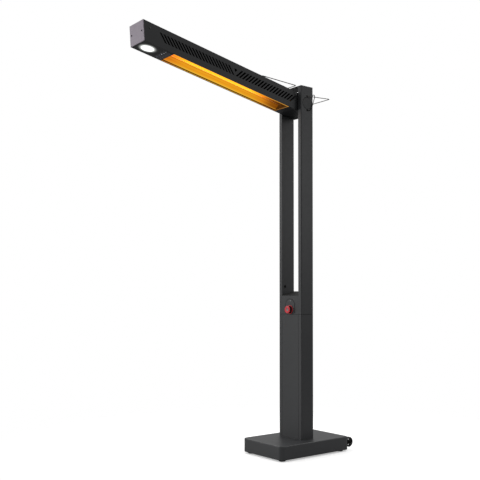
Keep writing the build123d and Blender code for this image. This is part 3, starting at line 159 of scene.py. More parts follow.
# ------------------------------------------------------------------ finishes
def powder_coat(name, dark, light, rough, edge=0.6):
    """Powder coat baked on sheet steel: an even dark satin skin with faint orange peel.

    Real orange peel is 0.4 mm across; it is drawn 1.5 mm wide, as coarse as it needs to show.
    """
    material, tree, shader, place = new_material(name)
    cloud = mottle(tree, place, 70 * MM, 3)
    shade = add(tree, "ValToRGB", {"Fac": cloud}, [(0.0, dark), (1.0, light)])
    patch = mottle(tree, place, 22 * MM)
    satin = add(
        tree, "MapRange", {"Value": patch, "To Min": rough - 0.015, "To Max": rough + 0.015}
    )
    finish_with(tree, shader, Base_Color=shade, Roughness=satin)
    relief(tree, shader, mottle(tree, place, 1.5 * MM, 1), 0.04 * MM, edge * MM)
    return material


def moulded(name, dark, light, rough, pit=0.9, **inputs):
    """Injection-moulded plastic or rubber: even colour with a fine spark-eroded texture."""
    material, tree, shader, place = new_material(name, **inputs)
    cloud = mottle(tree, place, 18 * MM)
    shade = add(tree, "ValToRGB", {"Fac": cloud}, [(0.0, dark), (1.0, light)])
    fine = mottle(tree, place, pit * MM)
    matt = add(tree, "MapRange", {"Value": fine, "To Min": rough - 0.06, "To Max": rough + 0.06})
    finish_with(tree, shader, Base_Color=shade, Roughness=matt)
    relief(tree, shader, fine, 0.03 * MM, 0.5 * MM)
    return material


def worked_metal(name, dark, light, rough, stretch=(1, 1, 1), size=1.2):
    """Plated, rolled or drawn metal: fine lines left by the tool and patchy shine."""
    material, tree, shader, place = new_material(name, Metallic=1.0)
    lines = mottle(tree, place, size * MM, 3, stretch)
    shade = add(tree, "ValToRGB", {"Fac": lines}, [(0.0, dark), (1.0, light)])
    shine = add(tree, "MapRange", {"Value": lines, "To Min": rough - 0.08, "To Max": rough + 0.08})
    finish_with(tree, shader, Base_Color=shade, Roughness=shine)
    relief(tree, shader, lines, 0.01 * MM, 0.4 * MM)
    return material


def lit_print(name, dark, light, glow):
    """Screen-printed symbols lit from behind: pale ink, slightly uneven, with a soft glow."""
    material, tree, shader, place = new_material(name, Roughness=0.5, Emission_Strength=glow)
    ink = mottle(tree, place, 3 * MM)
    shade = add(tree, "ValToRGB", {"Fac": ink}, [(0.0, dark), (1.0, light)])
    finish_with(tree, shader, Base_Color=shade, Emission_Color=shade)
    return material


def gap_shade():
    """Painted shade of an unlit joint or sheared edge: matt, nearly black, with no shine at all."""
    material, tree, shader, place = new_material("joint_shade", Specular_IOR_Level=0.0)
    shader.inputs["Roughness"].default_value = 1.0
    shade_mottle = mottle(tree, place, 4 * MM)
    shade = add(tree, "ValToRGB", {"Fac": shade_mottle}, [(0.0, "#050505"), (1.0, "#0A0A0A")])
    finish_with(tree, shader, Base_Color=shade)
    return material


def arm_place(tree, place):
    """Place in the arm's own frame: X across, -Y the station from the pivot, Z up from its middle."""
    arm = {"Vector": place, "Location": PIVOT, "Rotation": (-TILT, 0, 0)}
    return add(tree, "Mapping", arm, vector_type="TEXTURE")


def tube_warmth(tree, local, cold_end):
    """How warm a place glows, by its station in metres from the hinge: a painted glow on the
    trough's walls, and the tube's and filament's own glow.

    It is full along the hot stretch, redder at the nose end, dark past both ends of the window,
    and dims over the cold end by the hinge as the given stops say.
    """
    station = add(tree, "SeparateXYZ", {0: local}).node.outputs[1]
    metres = add(tree, "MapRange", {"Value": station, "From Min": 0.0, "From Max": -1.0})
    stops = [(0.096, "#000000"), *cold_end, (0.76, "#FFFFFF"), (0.83, "#F6DCE8")]
    stops += [(0.889, "#E6B8C4"), (0.893, "#000000")]
    return add(tree, "ValToRGB", {"Fac": metres}, stops)


# the cold end's stops, by station: the painted glow on the trough's walls, and the tube and its
# filament
painted_glow_cold_end = [(0.10, "#86727A"), (0.15, "#A08C98"), (0.18, "#C6B2C2"), (0.22, "#F0DEE8")]
painted_glow_cold_end += [(0.28, "#FFFFFF")]
tube_cold_end = [(0.10, "#5E4C3C"), (0.16, "#86705C"), (0.21, "#B29C88"), (0.28, "#F0DCD0")]
tube_cold_end += [(0.34, "#FFFFFF")]


def facing_down(tree):
    """How squarely a surface looks down out of the arm, from -1 to 1."""
    outward = add(tree, "TexCoord").node.outputs["Normal"]
    squarely = add(tree, "VectorMath", {0: outward, 1: -UP}, operation="DOT_PRODUCT")
    return squarely.node.outputs["Value"]


def lit_trough():
    """Rolled gold-toned aluminium with the tube's light on it painted as a glow: amber bands and
    fine streaks along the rolling.

    Across the trough, painted reflection: a bright turned edge, an orange wall with darker
    streaks, a yellow flat. The painted glow is only on what looks down, so the trough's back stays
    dark behind the louvres.
    """
    material, tree, shader, place = new_material(
        "rolled_aluminium_painted_glow", Metallic=1.0, Roughness=0.5, Base_Color=colour("#3A2A10")
    )
    local = arm_place(tree, place)
    across = add(tree, "SeparateXYZ", {0: local})
    edges = {"From Min": -65 * MM, "From Max": 65 * MM}
    share = add(tree, "MapRange", {"Value": across, **edges})
    bands = add(
        tree,
        "ValToRGB",
        {"Fac": share},
        [
            (0.026, "#2C160A"),
            (0.044, "#FFC440"),
            (0.062, "#F8BA30"),
            (0.092, "#F4AA22"),
            (0.131, "#EA981E"),
            (0.154, "#F6AC24"),
            (0.192, "#F2A420"),
            (0.223, "#D2821A"),
            (0.275, "#F0A822"),
            (0.500, "#F8BC2C"),
            (0.960, "#F2A824"),
            (0.980, "#C07018"),
            (0.990, "#2C160A"),
        ],
    )
    lines = mottle(tree, local, 2.2 * MM, 3, (1, 90, 1))
    rolled = add(tree, "ValToRGB", {"Fac": lines}, [(0.0, "#E2D8C8"), (1.0, "#FFFFFF")])
    warmth = tube_warmth(tree, local, painted_glow_cold_end)
    # painted glow of the tube's light: bands across, streaks along, dimmed towards the ends
    glow = add(tree, "VectorMath", {0: bands, 1: rolled}, operation="MULTIPLY")
    glow = add(tree, "VectorMath", {0: glow, 1: warmth}, operation="MULTIPLY")
    # a painted highlight along each turned edge
    rim = [(0.032, "#000000"), (0.042, "#D8943A"), (0.056, "#B0701E"), (0.064, "#000000")]
    rim += [(0.93, "#000000"), (0.945, "#D89030"), (0.965, "#F4B444"), (0.982, "#D89434")]
    rim += [(0.99, "#000000")]
    turned_edge_highlight = add(tree, "ValToRGB", {"Fac": share}, rim)
    glow = add(tree, "VectorMath", {0: glow, 1: turned_edge_highlight}, operation="MAXIMUM")
    # the painted glow only where the surface looks down
    lit = {"From Min": 0.1, "From Max": 0.5, "To Min": 0.0, "To Max": 1.04}
    painted_glow_strength = add(tree, "MapRange", {"Value": facing_down(tree), **lit})
    finish_with(tree, shader, Emission_Color=glow, Emission_Strength=painted_glow_strength)
    return material


def lit_brass():
    """Brass end plates, the tube's light painted on them as a glow: the lip that looks down is
    bright, the upright plate brown in shade.
    """
    material, tree, shader, place = new_material("brass_strip_painted_glow", Metallic=1.0, Roughness=0.4)
    lines = mottle(tree, place, 1.5 * MM, 3, (20, 1, 1))
    shade = add(tree, "ValToRGB", {"Fac": lines}, [(0.0, "#B87A2E"), (1.0, "#E0A450")])
    # painted glow, bright where the surface looks down
    lit = {"From Min": 0.3, "From Max": 0.8, "To Min": 0.07, "To Max": 0.8}
    painted_glow_strength = add(tree, "MapRange", {"Value": facing_down(tree), **lit})
    finish_with(tree, shader, Emission_Color=shade, Emission_Strength=painted_glow_strength)
    shader.inputs["Base Color"].default_value = colour("#5A3C18")
    return material


def lens_reach(tree, local):
    """How far a place is from the middle of the lamp's lens, in metres."""
    to_middle = (0, lens_station * MM, arm_half_height * MM)
    offset = add(tree, "VectorMath", {0: local, 1: to_middle}, operation="ADD")
    return add(tree, "VectorMath", {0: offset}, operation="LENGTH").node.outputs["Value"]


def lit_lens():
    """Opal moulded diffuser over LEDs: even white light to the very rim."""
    material, tree, shader, place = new_material(
        "opal_diffuser", Roughness=0.35, Base_Color=colour("#E8EAE8"), Emission_Strength=1.3
    )
    cloud = mottle(tree, place, 6 * MM)
    shade = add(tree, "ValToRGB", {"Fac": cloud}, [(0.0, "#F8FBF8"), (1.0, "#FFFFFF")])
    finish_with(tree, shader, Emission_Color=shade)
    return material


def beside_lens(name, shade, rough, strongest, start, end):
    """Moulded or coated surface round the lamp, with the lens's light painted over it as a glow.

    The spill fades between two distances from the lens's middle, steeply at first, as it does
    on a slightly rough skin.
    """
    material, tree, shader, place = new_material(name, Base_Color=colour(shade))
    local = arm_place(tree, place)
    # the painted spill of the lens's light, by distance from its middle
    limits = {"From Min": start * MM, "From Max": end * MM, "To Min": 1.0, "To Max": 0.0}
    near = add(tree, "MapRange", {"Value": lens_reach(tree, local), **limits})
    steep = add(tree, "Math", {0: near, 1: 4.0}, operation="POWER")
    spill = add(tree, "Math", {0: steep, 1: strongest}, operation="MULTIPLY")
    peel = mottle(tree, place, 1.5 * MM, 1)
    satin = add(tree, "MapRange", {"Value": peel, "To Min": rough - 0.02, "To Max": rough + 0.02})
    finish_with(tree, shader, Emission_Strength=spill, Roughness=satin)
    shader.inputs["Emission Color"].default_value = colour("#F4F8F4")
    relief(tree, shader, peel, 0.04 * MM, 0.6 * MM)
    return material


def amber_quartz():
    """Drawn quartz tube with a gold-ruby tint: see-through, yellow with light, drawn lengthwise."""
    material, tree, shader, place = new_material(
        "drawn_quartz", Transmission_Weight=1.0, IOR=1.46
    )
    local = arm_place(tree, place)
    lines = mottle(tree, local, 2 * MM, 2, (1, 60, 1))
    clear = add(tree, "MapRange", {"Value": lines, "To Min": 0.02, "To Max": 0.12})
    tone = add(tree, "ValToRGB", {"Fac": lines}, [(0.0, "#E8A41C"), (1.0, "#F6C02A")])
    warmth = tube_warmth(tree, local, tube_cold_end)
    glow = add(tree, "VectorMath", {0: tone, 1: warmth}, operation="MULTIPLY")
    amber = colour("#FFDC98")[:3]
    tint = add(tree, "VectorMath", {0: warmth, 1: amber}, operation="MULTIPLY")
    finish_with(tree, shader, Roughness=clear, Emission_Color=glow, Base_Color=tint)
    shader.inputs["Emission Strength"].default_value = 0.32
    return material


def hot_filament():
    """Wound carbon filament at working heat: orange, a little uneven along its length."""
    material, tree, shader, place = new_material("wound_carbon", Roughness=0.7)
    local = arm_place(tree, place)
    spots = mottle(tree, place, 9 * MM)
    tone = add(tree, "ValToRGB", {"Fac": spots}, [(0.0, "#E8921E"), (1.0, "#FFC84C")])
    warmth = tube_warmth(tree, local, tube_cold_end)
    glow = add(tree, "VectorMath", {0: tone, 1: warmth}, operation="MULTIPLY")
    finish_with(tree, shader, Emission_Color=glow)
    shader.inputs["Emission Strength"].default_value = 1.0
    return material


def board():
    """Glass-fibre board under solder mask: green weave with a satin gloss."""
    material, tree, shader, place = new_material("solder_mask", Roughness=0.35)
    weave = mottle(tree, place, 3 * MM, 4)
    shade = add(tree, "ValToRGB", {"Fac": weave}, [(0.0, "#1F4A2C"), (1.0, "#2C6038")])
    finish_with(tree, shader, Base_Color=shade)
    return material


def touch_glass():
    """Back-printed cover glass: near black, glossy, with a faint smear of handling."""
    material, tree, shader, place = new_material("printed_glass", Coat_Weight=0.6)
    smear = mottle(tree, place, 14 * MM, 3, (2, 1, 1))
    shade = add(tree, "ValToRGB", {"Fac": smear}, [(0.0, "#23242A"), (1.0, "#2B2C33")])
    gloss = add(tree, "MapRange", {"Value": smear, "To Min": 0.12, "To Max": 0.26})
    finish_with(tree, shader, Base_Color=shade, Roughness=gloss)
    return material


finishes = {
    # coats baked on sheet and tube: satin black on the arm, greyer on the column, darker and nearly
    # dull inside the hinge, where it also paints the shade in the slot, and a little glossier on
    # the base, whose edges are rounder
    "black_powder_coat": powder_coat("black_powder_coat", "#1A1B1D", "#1C1D1F", 0.46),
    "grey_powder_coat": powder_coat("grey_powder_coat", "#2B2C2E", "#2D2E30", 0.44),
    "matt_powder_coat": powder_coat("matt_powder_coat", "#0C0C0D", "#0E0E0F", 0.7),
    "base_powder_coat": powder_coat("base_powder_coat", "#2D2E30", "#2F3032", 0.42, 2.0),
    # bare and plated metal: a rough rolled slab, bright zinc, black oxide, drawn wires with
    # lines pulled out along X, and dull bronze
    "ballast_steel": worked_metal("blackened_plate", "#2E2E2E", "#3C3C3C", 0.6, size=6),
    "zinc_steel": worked_metal("zinc_plate", "#A9A9A6", "#C4C4C0", 0.3),
    "black_steel": worked_metal("black_oxide", "#0C0C0C", "#181818", 0.5),
    "dull_steel": worked_metal("dull_wire", "#4A4846", "#5E5C5A", 0.4, (6, 1, 1), 0.8),
    "wire_steel": worked_metal("nickel_wire", "#8C8886", "#B4B0AC", 0.28, (6, 1, 1), 0.8),
    "bearing_bronze": worked_metal("sintered_bronze", "#8A6A3C", "#A07C48", 0.45),
    # the heater: gold-toned trough and brass ends with the tube's light painted on them, cream
    # glazed holders, amber tube, hot filament
    "polished_aluminium": lit_trough(),
    "brass_trim": lit_brass(),
    "ceramic_white": moulded("glazed_steatite", "#D8D0C4", "#E4DED2", 0.3, 2.0),
    "quartz_glass": amber_quartz(),
    "filament_carbon": hot_filament(),
    # the nose: white lens, the skins with its light painted on them, dark glossy glass, green board
    "lamp_diffuser": lit_lens(),
    "lamp_trim": beside_lens("lit_trim", "#77797A", 0.4, 1.1, 30, 62),
    "lamp_panel": beside_lens("lit_panel", "#27282A", 0.44, 0.8, 34, 60),
    "touch_glass": touch_glass(),
    "circuit_board": board(),
    # plastics with an even satin colour, then duller rubbers, the cable's the darkest, as it is
    # darkened to paint in the shadow it casts on the upright
    "black_plastic": moulded("black_nylon", "#151516", "#1B1B1C", 0.45),
    "grey_plastic": moulded("grey_nylon", "#77797A", "#838586", 0.45),
    "red_plastic": moulded("red_nylon", "#CF2632", "#DA303C", 0.34),
    "nose_plastic": moulded("mauve_nylon", "#9A8F9C", "#A298A4", 0.5),
    "switch_plastic": moulded("phenolic", "#1C1B1A", "#242322", 0.5),
    "black_rubber": moulded("moulded_rubber", "#101010", "#181818", 0.72, 1.2),
    "cable_rubber_and_shadow": moulded("extruded_rubber_and_shadow", "#050505", "#090909", 0.95, 1.2),
    "tyre_rubber": moulded("tyre_rubber", "#141414", "#1E1E1E", 0.75, 1.6),
    "friction_fibre": moulded("pressed_fibre", "#2A2620", "#3A342C", 0.85, 1.4),
    # pale, lit and dim ink, and the painted shade of a joint
    "print": lit_print("screen_print", "#A8A8AC", "#B6B6BA", 0.1),
    "touch_print": lit_print("lit_screen_print", "#D8D8DC", "#E6E6EA", 0.6),
    "dim_print": lit_print("dim_screen_print", "#6A7088", "#7A80A0", 0.25),
    "joint_shade": gap_shade(),
}

# solids whose finish differs from their slot's: the heat shield is in the painted shade of a
# joint, the slot's floor and header in the dark coat that paints the slot's shade, and the lamp's
# ring and the underside round it under the lens's painted light
refinished = {
    "arm_brace": "black_steel",
    "heat_shield": "joint_shade",
    "catch_studs": "dull_steel",
    "slot_floor": "matt_powder_coat",
    "wire_stay": "dull_steel",
    "rear_bail": "dull_steel",
    "wheel_axle": "black_steel",
    "header": "matt_powder_coat",
    "knob_plate": "grey_powder_coat",
    "lamp_ring": "lamp_trim",
    "underside_front": "lamp_panel",
}
slot_of = {row["node"]: row["material_slot"] for row in frame["record"]["subparts"]}
for name, node in nodes.items():
    node.data.materials.clear()
    node.data.materials.append(finishes[refinished.get(name, slot_of[name])])


# ------------------------------------------------------------------ making pieces
def skin(name, grids, body, finish, wrap=(False, True)):
    """Smooth skins over grids of points shaped (copies, rows, columns, 3), as one piece.

    Neighbouring points are joined in fours. wrap joins the last row or column back to the
    first; rows that aren't joined back end in one flat face each.
    """
    copies, rows, columns = grids.shape[:3]
    i, j = np.meshgrid(
        np.arange(rows if wrap[0] else rows - 1),
        np.arange(columns if wrap[1] else columns - 1),
        indexing="ij",
    )
    below, beside = (i + 1) % rows, (j + 1) % columns
    quads = np.stack(
        [i * columns + j, i * columns + beside, below * columns + beside, below * columns + j], -1
    ).reshape(-1, 4)
    starts = np.arange(copies) * rows * columns
    faces = (quads[None] + starts[:, None, None]).reshape(-1, 4).tolist()
    if not wrap[0]:
        rim = np.arange(columns)
        faces += (starts[:, None] + rim[::-1]).tolist()
        faces += (starts[:, None] + (rows - 1) * columns + rim).tolist()
    mesh = bpy.data.meshes.new(name)
    mesh.from_pydata(grids.reshape(-1, 3).tolist(), [], faces)
    mesh.polygons.foreach_set("use_smooth", np.ones(len(faces), bool))
    mesh.set_sharp_from_angle(angle=math.radians(35))
    mesh.materials.append(finishes[finish])
    piece = bpy.data.objects.new(name, mesh)
    bpy.context.scene.collection.objects.link(piece)
    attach(piece, body)
    return piece


def carried(path, profile, normal):
    """A closed profile carried square along a path, its second axis kept near the normal.

    Each point is path + x * side + y * upright for the profile's points (x, y), where side is
    tangent x normal and upright is side x tangent.
    """
    tangent = np.gradient(path, axis=0)
    side = np.cross(tangent, normal)
    side /= np.linalg.norm(side, axis=1, keepdims=True)
    upright = np.cross(side, tangent / np.linalg.norm(tangent, axis=1, keepdims=True))
    return (
        path[:, None]
        + profile[None, ::-1, 0, None] * side[:, None]
        + profile[None, ::-1, 1, None] * upright[:, None]
    )


def on_arm(x, station, rise):
    """Points given in the arm's frame in millimetres, as places in metres."""
    parts = [np.asarray(v, float)[..., None] * MM for v in (x, station, rise)]
    return PIVOT + parts[0] * ACROSS + parts[1] * ALONG + parts[2] * UP


def arc(middle, radius, start, end, points=9):
    """A round stroke: middle + radius * (cos a, sin a), with a from start to end in degrees."""
    a = np.radians(np.linspace(start, end, points))
    return np.array(middle) + radius * np.column_stack([np.cos(a), np.sin(a)])


def bar(start, end, points=9):
    """A straight stroke as evenly spaced points between two places on a flat face."""
    return np.linspace(np.array(start, float), np.array(end, float), points)


def round_section(radius, points):
    """A round section of that many points, in metres: radius * (cos a, sin a)."""
    return arc((0, 0), radius * MM, 0, 360, points + 1)[:-1]


def strips_on_arm(name, section, stations, finish):
    """A strip along each side of the arm: a section (x, rise) drawn between two stations."""
    section = np.array(section)
    strips = []
    for side in (-1, 1):
        station, x = np.meshgrid(stations, side * section[:, 0], indexing="ij")
        strip = on_arm(x, station, np.broadcast_to(section[:, 1], x.shape))
        strips.append(strip if side > 0 else strip[::-1])
    skin(name, np.stack(strips), "arm", finish)


def printed(name, strokes, width, normal, body, finish):
    """Screen print 0.08 mm thick: flat strokes of one width laid along paths, as one piece."""
    half, thick = width / 2 * MM, 0.08 * MM
    section = np.array([(-half, 0), (half, 0), (half, thick), (-half, thick)])
    grids = np.stack([carried(np.asarray(path), section, normal) for path in strokes])
    skin(name, grids, body, finish)


# ------------------------------------------------------------------ the heater
# the filament, a fine coil wound along the tube's middle:
# x = coil_radius * cos a, rise = tube_rise + coil_radius * sin a, station growing evenly with a
coil_turns, coil_radius, coil_wire = 150, 3.4, 0.45
coil_start, coil_length = 80.0, 829.0
turn = np.linspace(0, 2 * math.pi * coil_turns, coil_turns * 12 + 1)
coil = on_arm(
    coil_radius * np.cos(turn),
    coil_start + coil_length * turn / turn[-1],
    tube_rise + coil_radius * np.sin(turn),
)
coil_skin = carried(coil, round_section(coil_wire, 5), ALONG)
filament = skin("filament_coil", coil_skin[None], "arm", "filament_carbon")
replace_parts(filament, "heater_filament")

# the trough's turned edges: an L-shaped lip, 1 mm thick, along each side of the window
lip_outside, lip_inside, lip_wall = 64.9, 57.2, 1.0
lip_top, lip_bottom = -43.4, -49.8
lip_section = [
    (lip_outside, lip_bottom),
    (lip_outside, lip_top),
    (lip_outside - lip_wall, lip_top),
    (lip_outside - lip_wall, lip_bottom + lip_wall),
    (lip_inside, lip_bottom + lip_wall),
    (lip_inside - 0.4, lip_bottom + lip_wall / 2),
    (lip_inside, lip_bottom),
]
window_ends = (101.5, 891.0)
strips_on_arm("trough_lips", lip_section, window_ends, "polished_aluminium")

# corrugated baffles behind the louvres, from the trough's roof to the heat shield, coloured
# as painted shade so the louvres show dark:
# x = baffle_x + baffle_wave * cos(2 pi * rise / baffle_pitch)
baffle_x, baffle_wave, baffle_pitch, baffle_wall = 56.0, 1.2, 13.0, 0.8
baffle_rise = np.linspace(-6.4, 32.8, 19)
baffle_wavy = baffle_x + baffle_wave * np.cos(2 * math.pi * baffle_rise / baffle_pitch)
baffle_outside = np.column_stack([baffle_wavy, baffle_rise])
baffle_section = np.concatenate([baffle_outside, baffle_outside[::-1] - (baffle_wall, 0)])
strips_on_arm("louvre_shade_baffles", baffle_section, (75.0, 1000.0), "joint_shade")


# ------------------------------------------------------------------ the touch panel
def on_panel(stroke):
    """A flat stroke (x, station) laid on the touch panel's glass."""
    glass_proud = 0.6
    rise = np.full(len(stroke), -arm_half_height - glass_proud)
    return on_arm(stroke[:, 0], stroke[:, 1], rise)


# a row of symbols for on, more and less between two circles, and a row of bars behind it
symbol_row, bar_row = 928.0, 905.0
on_x, more_x, less_x, arm_of_sign = 6.0, 28.0, 47.0, 2.5
touch_marks = [
    arc((on_x, symbol_row), 2.4, 120, 420),
    bar((on_x, symbol_row), (on_x, symbol_row + 3)),
    bar((more_x - arm_of_sign, symbol_row), (more_x + arm_of_sign, symbol_row)),
    bar((more_x, symbol_row - arm_of_sign), (more_x, symbol_row + arm_of_sign)),
    bar((less_x - arm_of_sign, symbol_row), (less_x + arm_of_sign, symbol_row)),
]
printed("touch_marks", [on_panel(m) for m in touch_marks], 1.4, -UP, "arm", "touch_print")
dim_marks = [bar((x - 3, bar_row), (x + 3, bar_row)) for x in range(-41, 45, 17)]
dim_marks += [arc((x, symbol_row), 2.6, 0, 360) for x in (-38, -16)]
printed("touch_bars", [on_panel(m) for m in dim_marks], 1.6, -UP, "arm", "dim_print")


# ------------------------------------------------------------------ the knob and its plate
def on_plate(stroke):
    """A flat stroke (x, height) laid on the arch round the knob."""
    plate_proud = 1.5
    y = np.full(len(stroke), -column_half[1] - plate_proud)
    return np.column_stack([stroke[:, 0], y, stroke[:, 1]]) * MM


# I and O above the knob, and a long and a short tick on each side of it
dial_marks = [
    bar((-7.5, knob_height + 49), (-7.5, knob_height + 54)),
    arc((3.5, knob_height + 51.5), 2.5, 0, 360),
]
for side in (-1, 1):
    dial_marks.append(bar((side * 31, knob_height), (side * 28, knob_height)))
    dial_marks.append(bar((side * 26.8, knob_height + 15.5), (side * 24.3, knob_height + 14)))
printed("dial_marks", [on_plate(m) for m in dial_marks], 1.1, FRONT, "stand", "print")

# a dark line just inside the arch: two legs and a half circle
arch_half, arch_foot, arch_middle = 40.0, 803.0, 843.5
arch = [bar((-arch_half, arch_foot), (-arch_half, arch_middle - 1.5), 3)]
arch += [arc((0, arch_middle), arch_half, 180, 0, 33)]
arch += [bar((arch_half, arch_middle - 1.5), (arch_half, arch_foot), 3)]
outline = [on_plate(np.concatenate(arch))]
printed("dial_outline", outline, 1.5, FRONT, "stand", "joint_shade")


def knob_part(name, section, spokes, finish, replaced):
    """A closed section (radius, height) turned about the knob's axis, on the knob's front.

    Each point is (radius * cos a, front - height, radius * sin a) from the knob's middle.
    """
    knob_front = (0, -66.1, knob_height)
    a = np.linspace(0, 2 * math.pi, spokes, endpoint=False)
    r, h = (np.array(section, float)[:, k, None] for k in (0, 1))
    x, z = r * np.cos(a), r * np.sin(a)
    grid = (np.stack([x, -h + 0 * x, z], -1) + np.array(knob_front)) * MM
    piece = skin(name, grid[None], "knob", finish, wrap=(True, True))
    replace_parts(piece, replaced)


# a broad red face with a pale pointer, round a small dished grey cap
face_section = [(8.3, 0), (21.5, 0), (21.5, 1.9), (21.0, 2.8), (19.8, 3.4), (18, 3.5)]
face_section += [(14, 3.45), (11, 3.1), (9.2, 2.5), (8.3, 1.4)]
knob_part("knob_face_ring", face_section, 64, "red_plastic", "knob_ring")
cap_section = [(8.1, 0), (8.1, 1.2), (7.6, 1.6), (6, 1.5), (3, 1.1), (0.02, 1), (0.02, 0)]
knob_part("knob_dished_cap", cap_section, 48, "grey_plastic", "knob_cap")
face_y, pointer_start, pointer_length = -69.6, 11.0, 8.0
pointer = np.zeros((5, 3))
pointer[:, 1] = face_y
pointer[:, 2] = knob_height + pointer_start + np.linspace(0, pointer_length, 5)
printed("knob_pointer", [pointer * MM], 1.6, FRONT, "knob", "print")


# ------------------------------------------------------------------ screw heads
def screw_heads(name, screws, body, finish, replaced):
    """Domed screw heads with a cross recess, one for each (place, outward direction).

    A polar grid of rings r and spokes a: height = rim + dome * (1 - (r / radius)^2), less the
    recess depth wherever a spoke lies in the cross and the ring is inside the cross's reach.
    """
    radius, rim, dome, recess, spokes = 4.0, 1.5, 0.9, 1.2, 16
    r = np.array([radius, radius, 3.7, 2.4, 2.35, 0.8, 0.75])
    z = rim + dome * (1 - (r / radius) ** 2)
    z[0] = 0.0
    z[1] = rim - 0.3
    a = (np.arange(spokes) + 0.5) * 2 * math.pi / spokes
    in_cross = np.isin(np.arange(spokes) % 4, (3, 0))
    height = np.repeat(z[:, None], spokes, 1)
    height[4:6, in_cross] -= recess
    height[6] -= recess
    rings = np.stack([r[:, None] * np.cos(a), r[:, None] * np.sin(a), height], -1)
    places, outward = (np.array(column, float) for column in zip(*screws))
    outward /= np.linalg.norm(outward, axis=1, keepdims=True)
    aside = np.cross(outward, (0.3, 0.5, 0.81))
    aside /= np.linalg.norm(aside, axis=1, keepdims=True)
    axes = np.stack([aside, np.cross(outward, aside), outward], 1)
    grids = (places[:, None, None] + np.einsum("rsk,nkc->nrsc", rings, axes)) * MM
    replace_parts(skin(name, grids, body, finish), replaced)


# two in the slanted nose, level with its middle
nose_out = math.cos(nose_slant) * ALONG - math.sin(nose_slant) * UP
nose_down = -math.sin(nose_slant) * ALONG - math.cos(nose_slant) * UP
nose_corner = on_arm(0, arm_reach, arm_half_height) / MM
nose_middle = nose_corner + arm_half_height / math.cos(nose_slant) * nose_down
nose_screws = [(nose_middle + x * ACROSS, nose_out) for x in (-50, 50)]
# their dark coat also paints the shade of the recesses they sit in
screw_heads("nose_screw_heads", nose_screws, "arm", "matt_powder_coat", "nose_screws")

# on the column's back above and below the seam, on the wheels' brackets, under the feet, and
# inside the slot at the ends of the header
back, down = (0, 1, 0), (0, 0, -1)
bracket_back = 257.0
stand_screws = [
    *[((x, column_high[1], seam_height + z), back) for x in (-83, 83) for z in (-37.5, 37.5)],
    *[((x, bracket_back, axle_height + z), back) for x in (-114.6, 114.6) for z in (-10, 10)],
    *[((x, y, 5), down) for x in (-134, 134) for y in (-225, 217)],
    *[((side * 66.8, -32.5, 2083), (-side, 0, 0)) for side in (-1, 1)],
]
screw_heads("stand_screw_heads", stand_screws, "stand", "zinc_steel", "stand_screws")


# ------------------------------------------------------------------ the base
def rounded_outline(half, radii, inset, step):
    """Points round a rectangle with rounded corners, and the direction outward at each.

    Each point is the corner's middle + (radius - inset) * (cos a, sin a), with a all round in
    steps of so many degrees. The two radii are those of the front and the rear corners.
    """
    a = np.radians(np.arange(0, 360, step) + step / 2)
    outward = np.column_stack([np.cos(a), np.sin(a)])
    radius = np.where(outward[:, 1:] < 0, *radii)
    return np.sign(outward) * (half - radius) + (radius - inset) * outward, outward


def base_loop(inset, height):
    """A loop round the base, which has wide front and narrower rear corners."""
    base_half, base_middle = (cover_high - cover_low)[:2] / 2, (cover_high + cover_low)[:2] / 2
    flat, _ = rounded_outline(base_half, (30.0, 20.0), inset, 5)
    return np.column_stack([flat + base_middle, np.full(len(flat), height)]) * MM


def hole_loop(height):
    """A loop round the column's hole in the base's top, 0.2 mm clear of the column."""
    flat, _ = rounded_outline(column_half, (column_corner, column_corner), -0.2, 5)
    return np.column_stack([flat, np.full(len(flat), height)]) * MM


# the pressed cover: up its outside, over the rounded top edge, into the column's hole, and
# back down its inside. A spare loop on each side of the round keeps the flats flat.
cover_foot, cover_top = cover_low[2], cover_high[2]
cover_wall, cover_round = 2.0, 5.0
round_start = cover_top - cover_round
shell = [base_loop(0, cover_foot), base_loop(0, round_start - 2)]
for bend in np.radians(range(0, 91, 18)):
    inset = cover_round * (1 - math.cos(bend))
    shell.append(base_loop(inset, round_start + cover_round * math.sin(bend)))
shell += [base_loop(cover_round + 1.5, cover_top), hole_loop(cover_top)]
shell += [hole_loop(cover_top - cover_wall), base_loop(cover_wall, cover_top - cover_wall)]
shell += [base_loop(cover_wall, cover_foot)]
cover = skin("base_shell", np.stack(shell)[None], "stand", "base_powder_coat", wrap=(True, True))
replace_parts(cover, "base_cover")

# the slab inside it
slab_inset, slab_top = cover_wall + 0.2, 22.0
slab_loops = np.stack([base_loop(slab_inset, cover_foot), base_loop(slab_inset, slab_top)])
slab = skin("base_plate", slab_loops[None], "stand", "ballast_steel")
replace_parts(slab, "base_ballast")


# ------------------------------------------------------------------ the column's grooves
def seam_shade(section):
    """The shade in the column's seam: a closed section (outward, height) carried round it."""
    section = np.array(section, float)[::-1]
    corners = (column_corner, column_corner)
    flat, outward = rounded_outline(column_half, corners, 0, 15)
    flat = flat[:, None] + section[None, :, :1] * outward[:, None]
    heights = np.broadcast_to(section[None, :, 1], flat.shape[:2])
    grid = np.concatenate([flat, heights[..., None]], -1) * MM
    skin("column_seam_shade", grid[None], "stand", "joint_shade", wrap=(True, True))


groove_floor, groove_mouth, groove_height = -0.78, -0.35, 1.6
seam_foot = seam_height - groove_height
seam_shade(
    [
        (groove_floor, seam_foot),
        (groove_mouth, seam_foot),
        (groove_mouth, seam_height),
        (groove_floor, seam_height),
    ]
)
# painted shade in the upright grooves in the column's front and back, from the base to the seam
groove_x, front_y, back_y = 70.0, -45.75, 45.65
groove_lines = [
    bar((x, y, cover_top + 1), (x, y, seam_foot - 0.4)) * MM
    for x in (-groove_x, groove_x)
    for y in (front_y, back_y)
]
printed("column_line_shade", groove_lines, 1.3, FRONT, "stand", "joint_shade")


